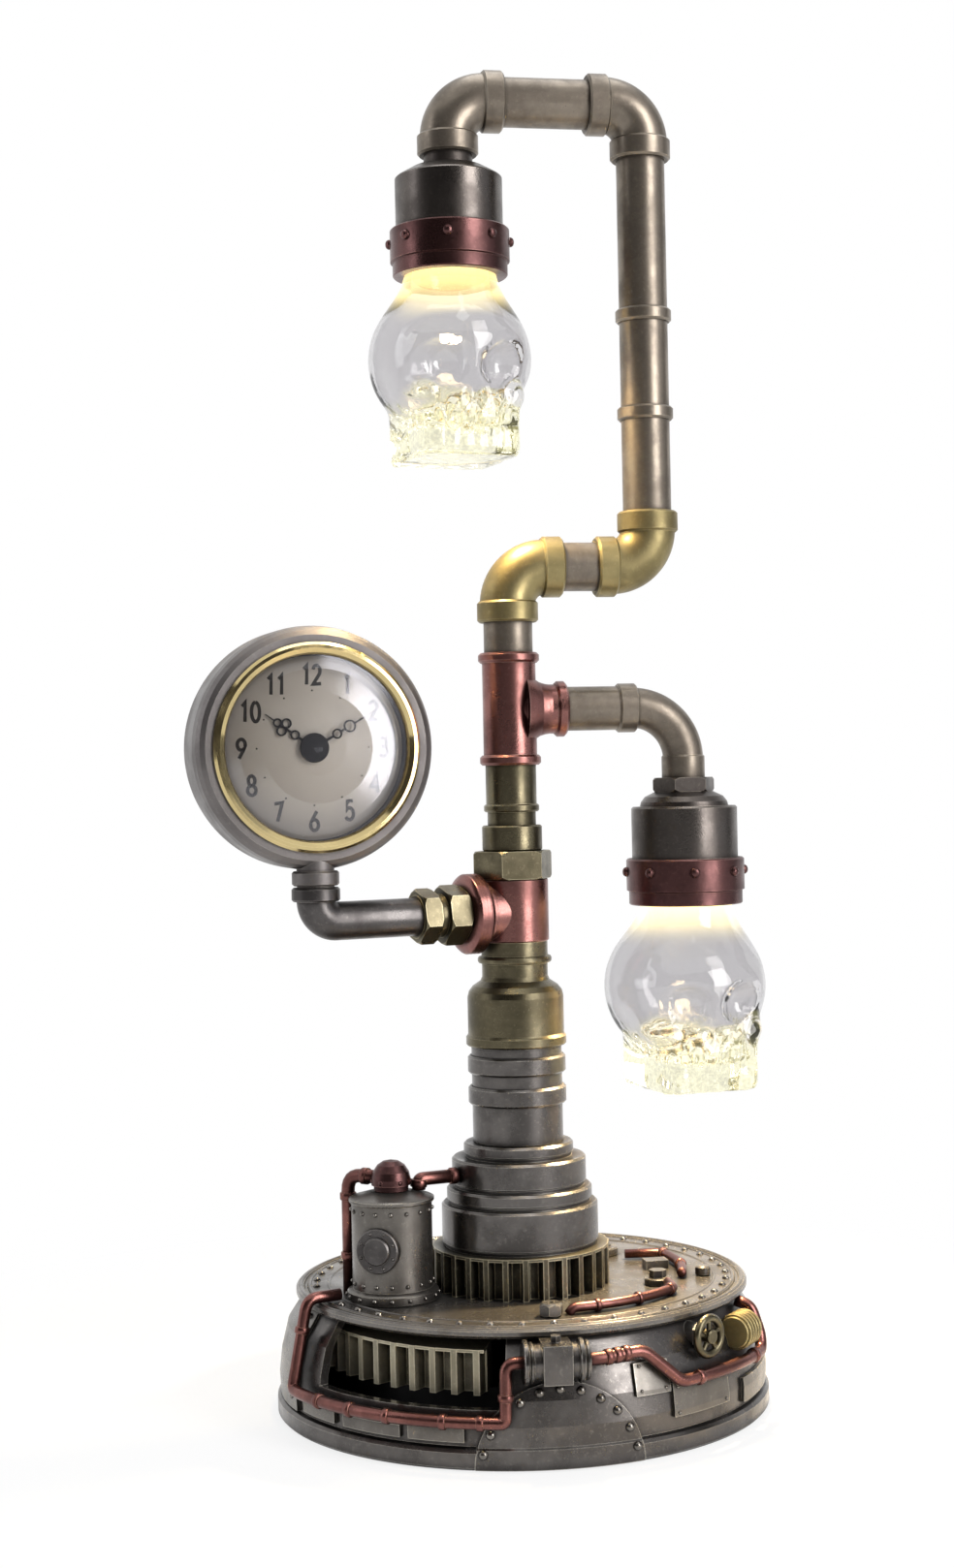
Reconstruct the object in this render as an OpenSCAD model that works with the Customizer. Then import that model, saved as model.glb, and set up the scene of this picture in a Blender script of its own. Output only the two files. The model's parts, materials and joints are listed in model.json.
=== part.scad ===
// Pipe desk lamp with a clock: a riveted round base carries a column of pipe fittings,
// a swivelling mast with two glass-skull lights, and a clock on a side arm.
// Millimetres, +Z up. The origin is the centre of the foot pad, on the table.
// The lamp is seen from -Y.

/* [Base] */
// Outer radius of the rim at the foot
rim_r = 85; // [83:0.5:90]
// Height of the rim band
rim_h = 7; // [5:0.5:9]
// Thickness of the base shell's wall
wall_t = 3; // [2:0.25:4]
// Height of the deck's top face above the table
deck_z = 43; // [41:0.5:50]
// Thickness of the deck plate
deck_t = 3; // [2:0.25:4]
// Radius of the deck plate
deck_r = 78; // [77:0.5:81]
// Thickness of the felt pad under the foot
felt_t = 1.2; // [0.8:0.1:2]
// Thickness of the floor plate
floor_t = 2; // [1.5:0.25:3]
// Teeth on the wheel inside the base
ring_teeth = 60; // [45:1:66]
// Tip radius of the wheel inside the base
ring_tip_r = 71.5; // [66:0.5:72]
// Face width of the wheel inside the base
ring_gear_h = 14.5; // [10:0.5:16]
// Radius of the riveted arch on the front wall
arch_r = 27; // [20:0.5:30]
// Thickness of the plates riveted to the wall
plate_t = 1.2; // [0.8:0.1:1.8]
// Radius of the copper pipes on the base
tubing_r = 2; // [1.6:0.1:2.3]

/* [Boiler] */
// Radius of the boiler tank
tank_r = 13.5; // [11:0.5:14.5]
// Height of the boiler tank's barrel
tank_h = 32.5; // [22:0.5:36]

/* [Handwheel switch] */
// Rim radius of the handwheel
wheel_r = 7.2; // [6:0.2:7.6]
// Radius of the switch shaft
switch_shaft_r = 1.6; // [1.2:0.1:2]

/* [Column] */
// How far the column stands in front of the base's centre
column_fwd = 10; // [4:0.5:14]
// Teeth on the wheel under the column
deck_gear_teeth = 28; // [22:1:34]
// Tip radius of the wheel under the column
deck_gear_tip_r = 30.3; // [29:0.1:33]
// Face width of the wheel under the column
deck_gear_h = 14; // [8:0.5:18]
// Radius of the column tube
column_r = 15.5; // [14:0.25:16.5]
// Height of the column tube
column_h = 33; // [30:0.5:45]
// Height of the reducer on top of the column tube
reducer_h = 35.5; // [34:0.5:42]
// Radius of the clock tee's barrel
clock_tee_r = 12; // [11.5:0.1:12.8]
// Height of the clock tee
clock_tee_h = 21.5; // [21:0.5:26]
// Height of the union nut
union_nut_h = 9.5; // [7:0.5:12]
// Distance across the union nut's flats
union_nut_af = 24; // [23:0.5:27]
// Outer radius of the threaded tube that ties the column together
tie_r = 5; // [4:0.25:5.5]

/* [Mast] */
// Turn of the mast from the line of the shelf front, in degrees
mast_turn = 10; // [-20:1:30]
// Outer radius of the mast pipe
pipe_r = 8.4; // [7.8:0.1:8.8]
// Bore radius of the mast pipe and its fittings
pipe_bore_r = 6; // [5:0.1:6.6]
// Bend radius of the mast elbows
elbow_bend_r = 13; // [12:0.25:15]
// Outer radius of the elbows' bends
elbow_r = 9.5; // [9.3:0.1:10]
// Outer radius of the elbows' collars
collar_r = 10.5; // [10.2:0.1:11.5]
// Length of the elbows' collars
collar_h = 6; // [4:0.25:7]
// Height of the union tail above its nut
tail_h = 8.7; // [6:0.5:12]
// Bare length of the pipe between the union and the light tee
lower_nipple_h = 20.6; // [16:0.5:30]
// Height of the light tee
light_tee_h = 38.6; // [34:0.5:44]
// Bare length of the pipe above the light tee
tee_nipple_h = 10.5; // [6:0.5:20]
// Distance from the column to the riser
riser_out = 50; // [46:0.5:60]
// Bare length of the riser
riser_h = 122; // [110:1:140]
// Distance from the riser back to the upper light
top_back = 67.5; // [60:0.5:72]
// Distance from the column to the lower light
branch_out = 61; // [58:0.5:70]
// Outer radius of the branch pipe
branch_r = 7.6; // [7.2:0.1:7.9]
// Bend radius of the branch elbow
branch_bend_r = 18; // [15:0.5:19]

/* [Lights] */
// Outer radius of the lamp cups
cup_r = 18.4; // [17.5:0.1:19]
// Height of the lamp cups
cup_h = 18; // [16:0.5:22]
// Outer radius of the shade rings
shade_ring_r = 20.5; // [20:0.1:22]
// Height of the shade rings
shade_ring_h = 16; // [13:0.5:19]
// Screws round each shade ring
shade_screw_count = 8; // [4:1:10]
// Length of the glass skull below its ring
skull_h = 63; // [58:0.5:70]
// Thickness of the glass
glass_t = 2.6; // [2:0.1:3.5]
// Direction that the skulls look, in degrees to the right of the front
skull_turn = 20; // [0:1:80]

/* [Clock] */
// Turn of the clock arm towards the front, in degrees
clock_turn = 28; // [10:1:40]
// Turn of the clock's face back from the arm, in degrees
clock_face_turn = 9.5; // [0:0.5:20]
// Distance from the column to the clock's stem
clock_out = 73.5; // [68:0.5:85]
// Outer radius of the clock arm's pipe
clock_pipe_r = 6.4; // [5.5:0.1:6.8]
// Outer radius of the clock case
case_r = 40.2; // [38.5:0.1:44]
// Depth of the clock case
case_d = 24.5; // [20:0.5:28]
// Outer radius of the clock's bezel
bezel_r = 34.5; // [33.5:0.1:35.5]
// Radius of the clock's glass
lens_r = 30.5; // [29.5:0.1:31]
// Length of the minute hand
minute_len = 25.5; // [20:0.5:27]
// Length of the hour hand
hour_len = 19.5; // [14:0.5:20]
// Height of the stem between the arm and the case
stem_h = 8.2; // [7:0.2:12]

/* [Fits] */
// Radial clearance of a turning fit
run_gap = 0.08; // [0.05:0.01:0.1]
// Radial clearance of a fixed push fit
fit_gap = 0.05; // [0.02:0.01:0.1]
// Clear gap between faces that turn past each other
face_gap = 0.1; // [0.05:0.05:0.3]

/* [Hidden] */
$fn = 64;

// Colours
pewter = "#5b544b";
bronze = "#7d7358";
copper = "#8a4b45";
brass = "#b09a55";
steel = "#8c8880";
black = "#222222";

// Base levels and radii
shell_z = felt_t / 2;
floor_z = felt_t;
floor_top = floor_z + floor_t;
deck_under = deck_z - deck_t;
wall_r = rim_r - 2.4;
floor_r = wall_r - 1.8;
shell_top_r = deck_r - 4;
rim_edge = 0.8;

// Outer wall of the base shell as [radius, height], from the rim to the deck
wall_line = [
    [wall_r, rim_h + 0.6],
    [wall_r + 0.3, rim_h + 7],
    [wall_r - 0.6, rim_h + 15],
    [wall_r - 2.8, deck_under - 9],
    [shell_top_r + 2.2, deck_under - 3.5],
    [shell_top_r, deck_under]
];
wall_table = [for (p = wall_line) [p[1], p[0]]];
function wall_at(z) = lookup(z, wall_table);

// The wall line moved out by a distance, kept between two heights
function wall_stretch(low, high, out) = concat(
    [[wall_at(low) + out, low]],
    [for (p = wall_line) if (p[1] > low && p[1] < high) [p[0] + out, p[1]]],
    [[wall_at(high) + out, high]]
);
function reversed(list) = [for (i = [len(list) - 1:-1:0]) list[i]];

// A point on the base wall: angle to the right of the front, radius and height
function around(angle, radius, z) = [radius * sin(angle), -radius * cos(angle), z];

// Gear window in the wall, as angles to the right of the front
window_from = -54;
window_to = -4;
window_low = 19;
window_pipe_past = 7.4;
gear_cap_t = 1;
ring_low = window_low + 1.5;
ring_high = min(ring_low + ring_gear_h, deck_under - 1);
ring_tooth_h = 5;
ring_inner_r = ring_tip_r - 14;

// Arch, plates and rivets on the wall
arch_at = 8;
arch_t = 1.6;
arch_covered = 2;
arch_rivets_n = 11;
rivet_r = 1.5;
plate_gap = fit_gap;
fender_from = -122;
fender_to = -64;
wall_plates_at = [
    [25.4, 34.3, 20.5, 30.5], [34.9, 53, 12, 22.5], [60, 84, 9, 17],
    [-26, -13, 9, 13.4], [-44, -28, 9, 13], [-60, -47, 9, 13.2],
    [100, 118, 12, 27], [128, 146, 10, 22], [150, 168, 18, 31], [205, 222, 12, 26]
];

// Cord gland at the back
gland_z = 16;
gland_bore_r = 3.2;
gland_r = 5.5;
gland_out = 5;
gland_flange_r = 7.5;

// Handwheel place: angle to the right of the front, and height
wheel_at = 46;
wheel_z = deck_under - 5;
wheel_hub_r = 2.3;
wheel_rim_t = 1.3;
wheel_room = 3.1;
wheel_stand = wall_at(wheel_z - wheel_r) + wheel_room - wall_at(wheel_z);
wheel_t = 2.6;
wheel_spokes = 5;
bush_r = 3.6;
bush_out = 4.6;
switch_box = [16, 10, 13];
switch_gap = 1.6;
switch_top = wheel_z + switch_box[1] / 2 - 1;
switch_back = wall_at(wheel_z) - min(wall_at(wheel_z), wall_at(switch_top)) + wall_t + switch_gap;
switch_room = 12;
ring_stop = 6;

// Valve on the front wall
valve_at = 7;
valve_z = deck_under - 5.5;
valve_r = 5.6;
valve_flange_r = 7;
valve_len = 21;
valve_bite = 0.6;
valve_line_r = wall_at(valve_z - 0.7 * valve_flange_r) + 0.7 * valve_flange_r - valve_bite;
function valve_end(d) = around(valve_at, valve_line_r, valve_z) + d * [cos(valve_at), sin(valve_at), 0];
function angle_of(p) = atan2(p[0], -p[1]);
function radius_of(p) = norm([p[0], p[1]]);
tubing_off = 0.6;
hose_at = 61;
hose_r = 5.2;
hose_rib = 0.8;
hose_ribs = 5;
hose_rib_step = 2;
hose_len = hose_ribs * hose_rib_step + 0.8;
hose_z = deck_under - 7.4;
hose_line_r = max(
    wall_at(hose_z - 0.7 * hose_r), wall_at(hose_z), wall_at(hose_z + 0.7 * hose_r)
) + 0.4 * hose_r;

// Boiler tank place
tank_x = -43;
tank_y = -29;
tank_flange_r = tank_r + 1.8;
tank_flange_h = 3.5;
tank_top = deck_z + tank_h;
tank_lid_h = 3.5;
tank_dome_r = 6.6;
tank_pipe_r = 2.3;
tank_port_r = 7.4;
tank_pipe_room = 1.8;
tank_pipe_to = 148;
function tank_out(d, z) = [tank_x + d * cos(tank_pipe_to), tank_y + d * sin(tank_pipe_to), z];

// Column levels, bottom up
column_y = -column_fwd;
gear_top = deck_z + deck_gear_h;
step_heights = [14.5, 5.5, 10, 5];
step_radii = [26.8, 24.9, 23, 18.8];
function sum_to(list, n) = n <= 0 ? 0 : list[n - 1] + sum_to(list, n - 1);
steps_top = gear_top + sum_to(step_heights, len(step_heights));
column_top = steps_top + column_h;
reducer_top = column_top + reducer_h;
tee_top = reducer_top + clock_tee_h;
nut_top = tee_top + union_nut_h;
tie_bottom = floor_top + 3;
tie_top = tee_top - 4;
tie_bore_r = tie_r - 1.4;
tie_hole_r = tie_r + fit_gap;
tie_nut_h = 4.5;
tie_nut_af = 2 * tie_r + 5;

// Union between the column and the mast
union_bore_r = 8.1;
union_flange_r = 9.6;
union_flange_h = 2;
spigot_r = union_bore_r - run_gap;

// Mast levels, bottom up, and the clearances of its push fits
tail_bottom = nut_top + face_gap;
tail_top = tail_bottom + tail_h;
tail_r = 10.3;
light_tee_bottom = tail_top + lower_nipple_h;
light_tee_top = light_tee_bottom + light_tee_h;
light_tee_r = 9.2;
tee_ring_h = 3.5;
tee_ring_r = collar_r;
socket_r = pipe_r + fit_gap;
collar_lap = 1.2;
offset_z = light_tee_top + tee_nipple_h + collar_h + elbow_bend_r;
riser_low = offset_z + elbow_bend_r + collar_h;
riser_high = riser_low + riser_h;
top_z = riser_high + collar_h + elbow_bend_r;
upper_light_s = riser_out - top_back;
branch_z = light_tee_bottom + light_tee_h / 2 - 0.2;
branch_end = 19.5;
branch_collar_h = 5.5;
branch_collar_r = branch_r + 0.9;
branch_elbow_r = 7;
branch_bore_r = 5;
sleeve_step = 0.5;
branch_drop_r = branch_elbow_r + sleeve_step;
branch_drop = 11.5;
riser_ring_at = [34, 68];
riser_ring_h = 4.6;

// Lights, measured from the top of each cup
upper_cup_top = top_z - elbow_bend_r - collar_h - 7.5;
lower_cup_top = branch_z - branch_bend_r - branch_drop - 5;
cup_t = 2;
shoulder_h = 3;
dome_h = 5;
neck_in = 5;
socket_nut_h = 5;
socket_nut_af = 2 * branch_elbow_r + 5;
bead_h = 2.5;
bead_top = -(cup_h + 1.5);
bead_r = shade_ring_r - 4.1;
glass_neck_r = bead_r - 0.8;
ring_low_z = -(cup_h + shade_ring_h);
lip_h = 5;
screw_r = 0.9;
screw_head_r = 1.7;
screw_z = -(cup_h + 4.5);
led_r = cup_r - cup_t - fit_gap;
led_t = 3;
led_dome_r = 5.5;
wire_hole_r = 3;

// Clock, in the frame of its arm: x out along the arm, y out of the face
arm_z = reducer_top + 10;
boss_r = 10.2;
boss_end = 14;
clock_ring_r = 13.6;
clock_ring_end = 20;
clock_nut_big = [20.3, 28, 18];
clock_nut_small = [31, 37.5, 16.6];
arm_bend_r = 7;
arm_ring_h = 4.4;
stem_r = 6.2;
stem_post_r = 4;
stem_post_h = 9;
stem_low = arm_z + arm_bend_r + arm_ring_h + face_gap;
clock_z = stem_low + stem_h + case_r - 2.6;
case_front = case_d / 2;
case_back = -case_d / 2;
// The stem stands this far in front of the case's middle
stem_fwd = 6;
// Round of the case's front edge, kept within the rim round the bezel
case_edge = min(3.2, 0.62 * (case_r - bezel_r - fit_gap));
insert_r = bezel_r - 1.6;
dial_at = case_front - 6;
lens_t = 1.4;
lens_rise = 2.6;
lens_curve = [[1, 0], [0.85, 0.55], [0.6, 0.86], [0.3, 0.98], [0, 1]];
movement_r = insert_r - 3;
movement_back = case_back + 4;
cell_r = 5.8;
cell_t = 3;
arbor_r = 1;
hour_tube_r = 2.2;
hour_hub_r = 3.2;
hand_t = 0.5;
hour_at = dial_at + 0.6;
minute_at = hour_at + hand_t + 0.5;
cap_r = 4.9;
cap_t = 1;
knob_r = 5.5;
knob_t = 4;
hour_angle = 305;
minute_angle = 60;

// Shared shapes

// A bar turned about Z, with its two end edges broken
module bar(r, low, high, edge = 0.4) {
    rotate_extrude()
        polygon([[0, low], [r - edge, low], [r, low + edge], [r, high - edge], [r - edge, high], [0, high]]);
}

// A tube turned about Z, with its outer end edges broken
module tube(r, bore, low, high, edge = 0.4) {
    rotate_extrude()
        polygon([
            [bore, low], [r - edge, low], [r, low + edge],
            [r, high - edge], [r - edge, high], [bore, high]
        ]);
}

// A hexagonal bar about Z with turned-off corners
module hex_bar(flats, low, high) {
    corner = flats / sqrt(3);
    intersection() {
        translate([0, 0, low]) cylinder(r = corner, h = high - low, $fn = 6);
        bar(corner + 0.2, low, high, 1.1);
    }
}

// A hexagonal nut about Z with a round bore
module hex_nut(flats, bore, low, high) {
    difference() {
        hex_bar(flats, low, high);
        translate([0, 0, low - 1]) cylinder(r = bore, h = high - low + 2);
    }
}

// A low dome on the XY plane
module dome(r, h) {
    rotate_extrude() polygon([[0, 0], [r, 0], [0.95 * r, 0.4 * h], [0.72 * r, 0.77 * h], [0.36 * r, 0.96 * h], [0, h]]);
}

// Sets its children at a point on the base wall, with Z pointing out
module on_wall(angle, radius, z) {
    translate(around(angle, radius, z)) rotate([0, 0, angle]) rotate([90, 0, 0]) children();
}

// A part of a turned ring between two angles to the right of the front
module wall_sector(from, to) {
    rotate([0, 0, from - 90]) rotate_extrude(angle = to - from) children();
}

// A round bar between two points
module bar_between(a, b, r) {
    d = b - a;
    length = norm(d);
    translate(a)
        rotate([0, acos(d[2] / length), atan2(d[1], d[0])])
            cylinder(r = r, h = length);
}

// Straight copper pipe through a list of points, with a ball fitting at each corner
module pipe_run(points, r) {
    for (i = [0:len(points) - 2]) bar_between(points[i], points[i + 1], r);
    for (i = [1:len(points) - 2]) translate(points[i]) sphere(r = 1.3 * r);
}

// Upright drum fitting at a corner of a copper pipe
module drum(at) {
    translate(at - [0, 0, 1.3 * tubing_r]) cylinder(r = 1.3 * tubing_r, h = 2.6 * tubing_r);
}

// Copper pipe bent round the base's axis, with a ball fitting at both ends
module pipe_arc(from, to, radius, z, r) {
    rotate([0, 0, min(from, to) - 90]) rotate_extrude(angle = abs(to - from)) translate([radius, z]) circle(r = r);
    for (a = [from, to]) translate(around(a, radius, z)) sphere(r = 1.3 * r);
}

// The base's outer form inside its wall, moved out by a distance
module wall_form(out) {
    rotate_extrude() polygon(concat([[0, rim_h + 0.7]], wall_stretch(rim_h + 0.7, deck_under - 0.1, out), [[0, deck_under - 0.1]]));
}

// A gear blank with straight-sided teeth
module toothed(tip_r, teeth, tooth_h, bore, low, high) {
    pitch = 360 / teeth;
    root_r = tip_r - tooth_h;
    outline = [for (i = [0:teeth - 1]) each [
        for (p = [[-0.25, root_r], [-0.14, tip_r], [0.14, tip_r], [0.25, root_r]])
            p[1] * [cos((i + p[0]) * pitch), sin((i + p[0]) * pitch)]
    ]];
    translate([0, 0, low]) linear_extrude(high - low) difference() {
        polygon(outline);
        circle(r = bore);
    }
    translate([0, 0, high - gear_cap_t]) linear_extrude(gear_cap_t) difference() {
        circle(r = tip_r - 0.2);
        circle(r = bore);
    }
}

// A quarter bend in the XZ plane: from a leg that points down to a leg that points out along X
module quarter_bend(bend_r, r) {
    translate([bend_r, 0, -bend_r]) rotate([90, 0, 0]) rotate([0, 0, 90])
        rotate_extrude(angle = 90) translate([bend_r, 0]) circle(r = r);
}

// A hollow quarter bend
module hollow_bend(bend_r, r, bore) difference() {
    quarter_bend(bend_r, r);
    quarter_bend(bend_r, bore);
}

// A pipe elbow about the corner of its two axes, with a socket in each collar
module elbow() {
    hollow_bend(elbow_bend_r, elbow_r, pipe_bore_r);
    translate([0, 0, -elbow_bend_r]) tube(collar_r, socket_r, -collar_h, collar_lap, 0.7);
    translate([elbow_bend_r, 0, 0]) rotate([0, 90, 0]) tube(collar_r, socket_r, -collar_lap, collar_h, 0.7);
}

// Frames of the column, the mast and the clock arm
module column_frame() { translate([0, column_y, 0]) children(); }
module mast_frame() { column_frame() rotate([0, 0, mast_turn]) children(); }
module arm_frame() { column_frame() rotate([0, 0, 180 + clock_turn]) children(); }
module stem_frame() { arm_frame() translate([clock_out, 0, 0]) rotate([0, 0, -clock_face_turn]) children(); }

// The clock's own axis: Z out of the face, -Y towards twelve, -X towards three
module face_frame() { stem_frame() translate([0, -stem_fwd, clock_z]) rotate([-90, 0, 0]) children(); }
module upper_light() { mast_frame() translate([upper_light_s, 0, upper_cup_top]) children(); }
module lower_light() { mast_frame() translate([branch_out, 0, lower_cup_top]) children(); }

// Base

module base_shell() color(pewter) {
    inner_low = [[floor_r, shell_z], [floor_r, floor_top], [wall_r - wall_t, floor_top]];
    inner_wall = [for (p = wall_line) if (p[1] < deck_under - 1) [p[0] - wall_t, p[1]]];
    outline = concat(
        inner_low, inner_wall, [[shell_top_r - wall_t, deck_under]],
        reversed(wall_line),
        [[rim_r - 1, rim_h], [rim_r, rim_h - 1], [rim_r, shell_z + rim_edge], [rim_r - rim_edge, shell_z]]
    );
    difference() {
        rotate_extrude() polygon(outline);
        wall_sector(window_from, window_to)
            translate([ring_inner_r, window_low]) square([rim_r - ring_inner_r + 5, deck_z - window_low]);
        intersection() {
            on_wall(arch_at, wall_r - arch_r, shell_z) cylinder(r = arch_r + plate_gap, h = 2 * arch_r);
            rotate_extrude() translate([wall_r + fit_gap, 0]) square([rim_r - wall_r + 2, rim_h + 0.6]);
        }
        on_wall(wheel_at, wall_r - 3 * wall_t - 6, wheel_z) cylinder(r = bush_r + fit_gap, h = 4 * wall_t + 12);
        on_wall(180, wall_r - 2 * wall_t, gland_z) cylinder(r = gland_r + fit_gap, h = 4 * wall_t);
    }
}

module base_floor() color(black) difference() {
    bar(floor_r - fit_gap, floor_z, floor_top, 0.3);
    for (a = [45:90:315]) rotate([0, 0, a]) translate([floor_r - 12, 0, floor_z - 1]) cylinder(r = 1.7, h = floor_t + 2);
}

module felt_pad() color("#2f2c2a") bar(floor_r - 18, 0, felt_t, 0.2);

// Screws through the floor into the stand of the wheel
module floor_screws() color(steel) for (a = [45:90:315]) rotate([0, 0, a]) translate([floor_r - 12, 0, 0]) {
    translate([0, 0, floor_z - 0.7]) cylinder(r = 2.8, h = 0.7);
    translate([0, 0, floor_z - 0.1]) cylinder(r = 1.6, h = floor_t + 4);
}

module deck_plate() color(pewter) difference() {
    rotate_extrude() polygon([
        [0, deck_under], [deck_r - 1, deck_under], [deck_r, deck_under + 1],
        [deck_r, deck_z - 0.7], [deck_r - 0.7, deck_z], [deck_r - 2.6, deck_z], [deck_r - 3, deck_z - 0.6],
        [deck_r - 3.8, deck_z - 0.6], [deck_r - 4.2, deck_z], [0, deck_z]
    ]);
    column_frame() translate([0, 0, deck_under - 1]) cylinder(r = tie_hole_r, h = deck_t + 2);
}

// A rivet head on the XY plane
module rivet(r, h) hull() cylinder(r1 = r, r2 = 0.6 * r, h = h, $fn = 8);

// Rivets on the deck, the tank, the arch and the left plate
module rivets() color(steel) {
    deck_rivet_n = 44;
    for (i = [0:deck_rivet_n - 1])
        translate(around(i * 360 / deck_rivet_n, deck_r - 7, deck_z)) rivet(1.25, 1.1);
    arch_line = arch_r - 2.6;
    for (i = [0:arch_rivets_n - 1]) if (i != arch_covered) {
        a = 12 + i * 156 / (arch_rivets_n - 1);
        side = asin(arch_line * cos(a) / wall_r);
        z = shell_z + arch_line * sin(a);
        on_wall(arch_at - side, max(wall_at(z), z < rim_h ? wall_r + 0.6 : 0) + plate_gap + arch_t, z) rivet(rivet_r, 1.3);
    }
    translate([tank_x, tank_y, 0]) for (i = [0:15]) rotate([0, 0, tank_pipe_to + 90 + (i + 0.5) * 22.5]) {
        translate([0, -tank_r, tank_top - 2.4]) rotate([90, 0, 0]) rivet(0.75, 0.7);
        translate([0, -tank_r, deck_z + tank_flange_h + 2.6]) rotate([90, 0, 0]) rivet(0.75, 0.7);
        translate([0, -tank_flange_r, deck_z + 1.8]) rotate([90, 0, 0]) rivet(0.75, 0.7);
    }
    for (z = [12:5:37]) on_wall(fender_to - 3, wall_at(z) + plate_gap + plate_t, z) rivet(1, 0.9);
}

// Wheel behind the window, cut away from the window's right end to behind the dimmer
module ring_gear() color(bronze) difference() {
    toothed(ring_tip_r, ring_teeth, ring_tooth_h, ring_inner_r, ring_low, ring_high);
    wall_sector(window_to - ring_stop, wheel_at + switch_room)
        translate([ring_inner_r - 5, ring_low - 1]) square([ring_tip_r, ring_gear_h + 2]);
}

// Spacer tube that carries the wheel, with a foot flange for the floor screws
module gear_stand() color(black) difference() {
    union() {
        tube(ring_inner_r + 4, ring_inner_r + 1, floor_top, ring_low, 0.2);
        tube(floor_r - 6, ring_inner_r + 1, floor_top, floor_top + 3.8, 0.2);
    }
    for (a = [45:90:315]) rotate([0, 0, a]) translate([floor_r - 12, 0, floor_top - 1]) cylinder(r = 1.6 + fit_gap, h = 8);
}

module arch_plate() color(pewter) intersection() {
    rotate_extrude() polygon(concat(
        [[wall_r + plate_gap + 0.3, shell_z + 0.1]],
        [[wall_r + plate_gap + 0.3, rim_h + 0.6]],
        wall_stretch(rim_h + 0.6, arch_r + 4, plate_gap + 0.3),
        reversed(wall_stretch(rim_h + 0.6, arch_r + 4, plate_gap + arch_t)),
        [[wall_r + plate_gap + arch_t + 0.6, rim_h], [wall_r + plate_gap + arch_t + 0.6, shell_z + 0.1]]
    ));
    on_wall(arch_at, wall_r - 20, shell_z) cylinder(r = arch_r, h = 40);
}

module wall_plates() color(steel) {
    for (p = wall_plates_at)
        wall_sector(p[0], p[1]) polygon(concat(
            wall_stretch(p[2], p[3], plate_gap),
            reversed(wall_stretch(p[2], p[3], plate_gap + plate_t))
        ));
    wall_sector(fender_from, fender_to) polygon(concat(
        wall_stretch(rim_h + 0.7, deck_under - 0.2, plate_gap),
        reversed(wall_stretch(rim_h + 0.7, deck_under - 0.2, plate_gap + plate_t))
    ));
}

// Valve with end flanges, a square waist and a cap bolt, fitted to the wall
module valve_body() color(pewter) difference() {
    on_wall(valve_at, valve_line_r, valve_z) rotate([0, 90, 0]) {
        bar(valve_r, -valve_len / 2, valve_len / 2, 0.5);
        for (z = [-valve_len / 2, valve_len / 2 - 3.4]) bar(valve_flange_r, z, z + 1.5, 0.3);
        for (z = [-valve_len / 2 + 2, valve_len / 2 - 1.4]) bar(valve_flange_r - 0.7, z, z + 1.2, 0.3);
        translate([-valve_r - 0.5, -valve_r - 0.5, -4.6]) cube([2 * valve_r + 1, 2 * valve_r + 1, 9.2]);
        rotate([-90, 0, 0]) translate([0, 0, valve_r - 1]) cylinder(r = 1.7, h = 3.6, $fn = 6);
    }
    wall_form(fit_gap);
}

module window_pipe() color(copper) {
    run_z = window_low - tubing_r - 0.8;
    run_r = wall_at(run_z) + plate_gap + arch_t + tubing_r + tubing_off;
    turn = valve_end(-valve_len / 2 - 4.2);
    from = angle_of(turn);
    up_at = window_from - window_pipe_past;
    top_z = deck_z + 1.3 * tubing_r;
    bulge = (deck_under - 9 - run_z) / (top_z - run_z);
    bulge_r = wall_at(deck_under - 9) + tubing_r + tubing_off;
    left_r = max(deck_r + tubing_r + tubing_off, run_r + (bulge_r - run_r) / bulge);
    left_top = around(up_at, left_r, top_z);
    left_end = around(up_at, norm([tank_x, tank_y]) + tank_flange_r + tank_pipe_room, top_z);
    pipe_run([valve_end(-valve_len / 2), turn, around(from, run_r, run_z)], tubing_r);
    pipe_arc(from, up_at, run_r, run_z, tubing_r);
    pipe_run([around(up_at, run_r, run_z), left_top, left_end], tubing_r);
}

module side_pipe() color(copper) {
    low_z = valve_z - 10.5;
    turn = valve_end(valve_len / 2 + 8);
    from = angle_of(turn);
    run_r = radius_of(turn);
    to = 72;
    bar_between(valve_end(valve_len / 2), turn, tubing_r);
    translate([turn[0], turn[1], low_z]) cylinder(r = tubing_r, h = valve_z - low_z);
    rotate([0, 0, from - 90]) rotate_extrude(angle = to - from) translate([run_r, low_z]) circle(r = tubing_r);
    translate(around(to, run_r, low_z)) cylinder(r = tubing_r, h = valve_z - low_z);
    drum(turn);
    drum([turn[0], turn[1], low_z]);
    drum(around(to, run_r, low_z));
    drum(around(to, run_r, valve_z));
}

// Ribbed stub of a hose fitting on the right of the wall
module hose_stub() color(brass) difference() {
    on_wall(hose_at, hose_line_r, hose_z) rotate([0, 90, 0]) {
        bar(hose_r, -hose_len / 2, hose_len / 2, 0.3);
        for (i = [0:hose_ribs - 1]) {
            low = -hose_len / 2 + 0.9 + i * hose_rib_step;
            bar(hose_r + hose_rib, low, low + hose_rib_step / 2, 0.3);
        }
    }
    wall_form(fit_gap);
}

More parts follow.
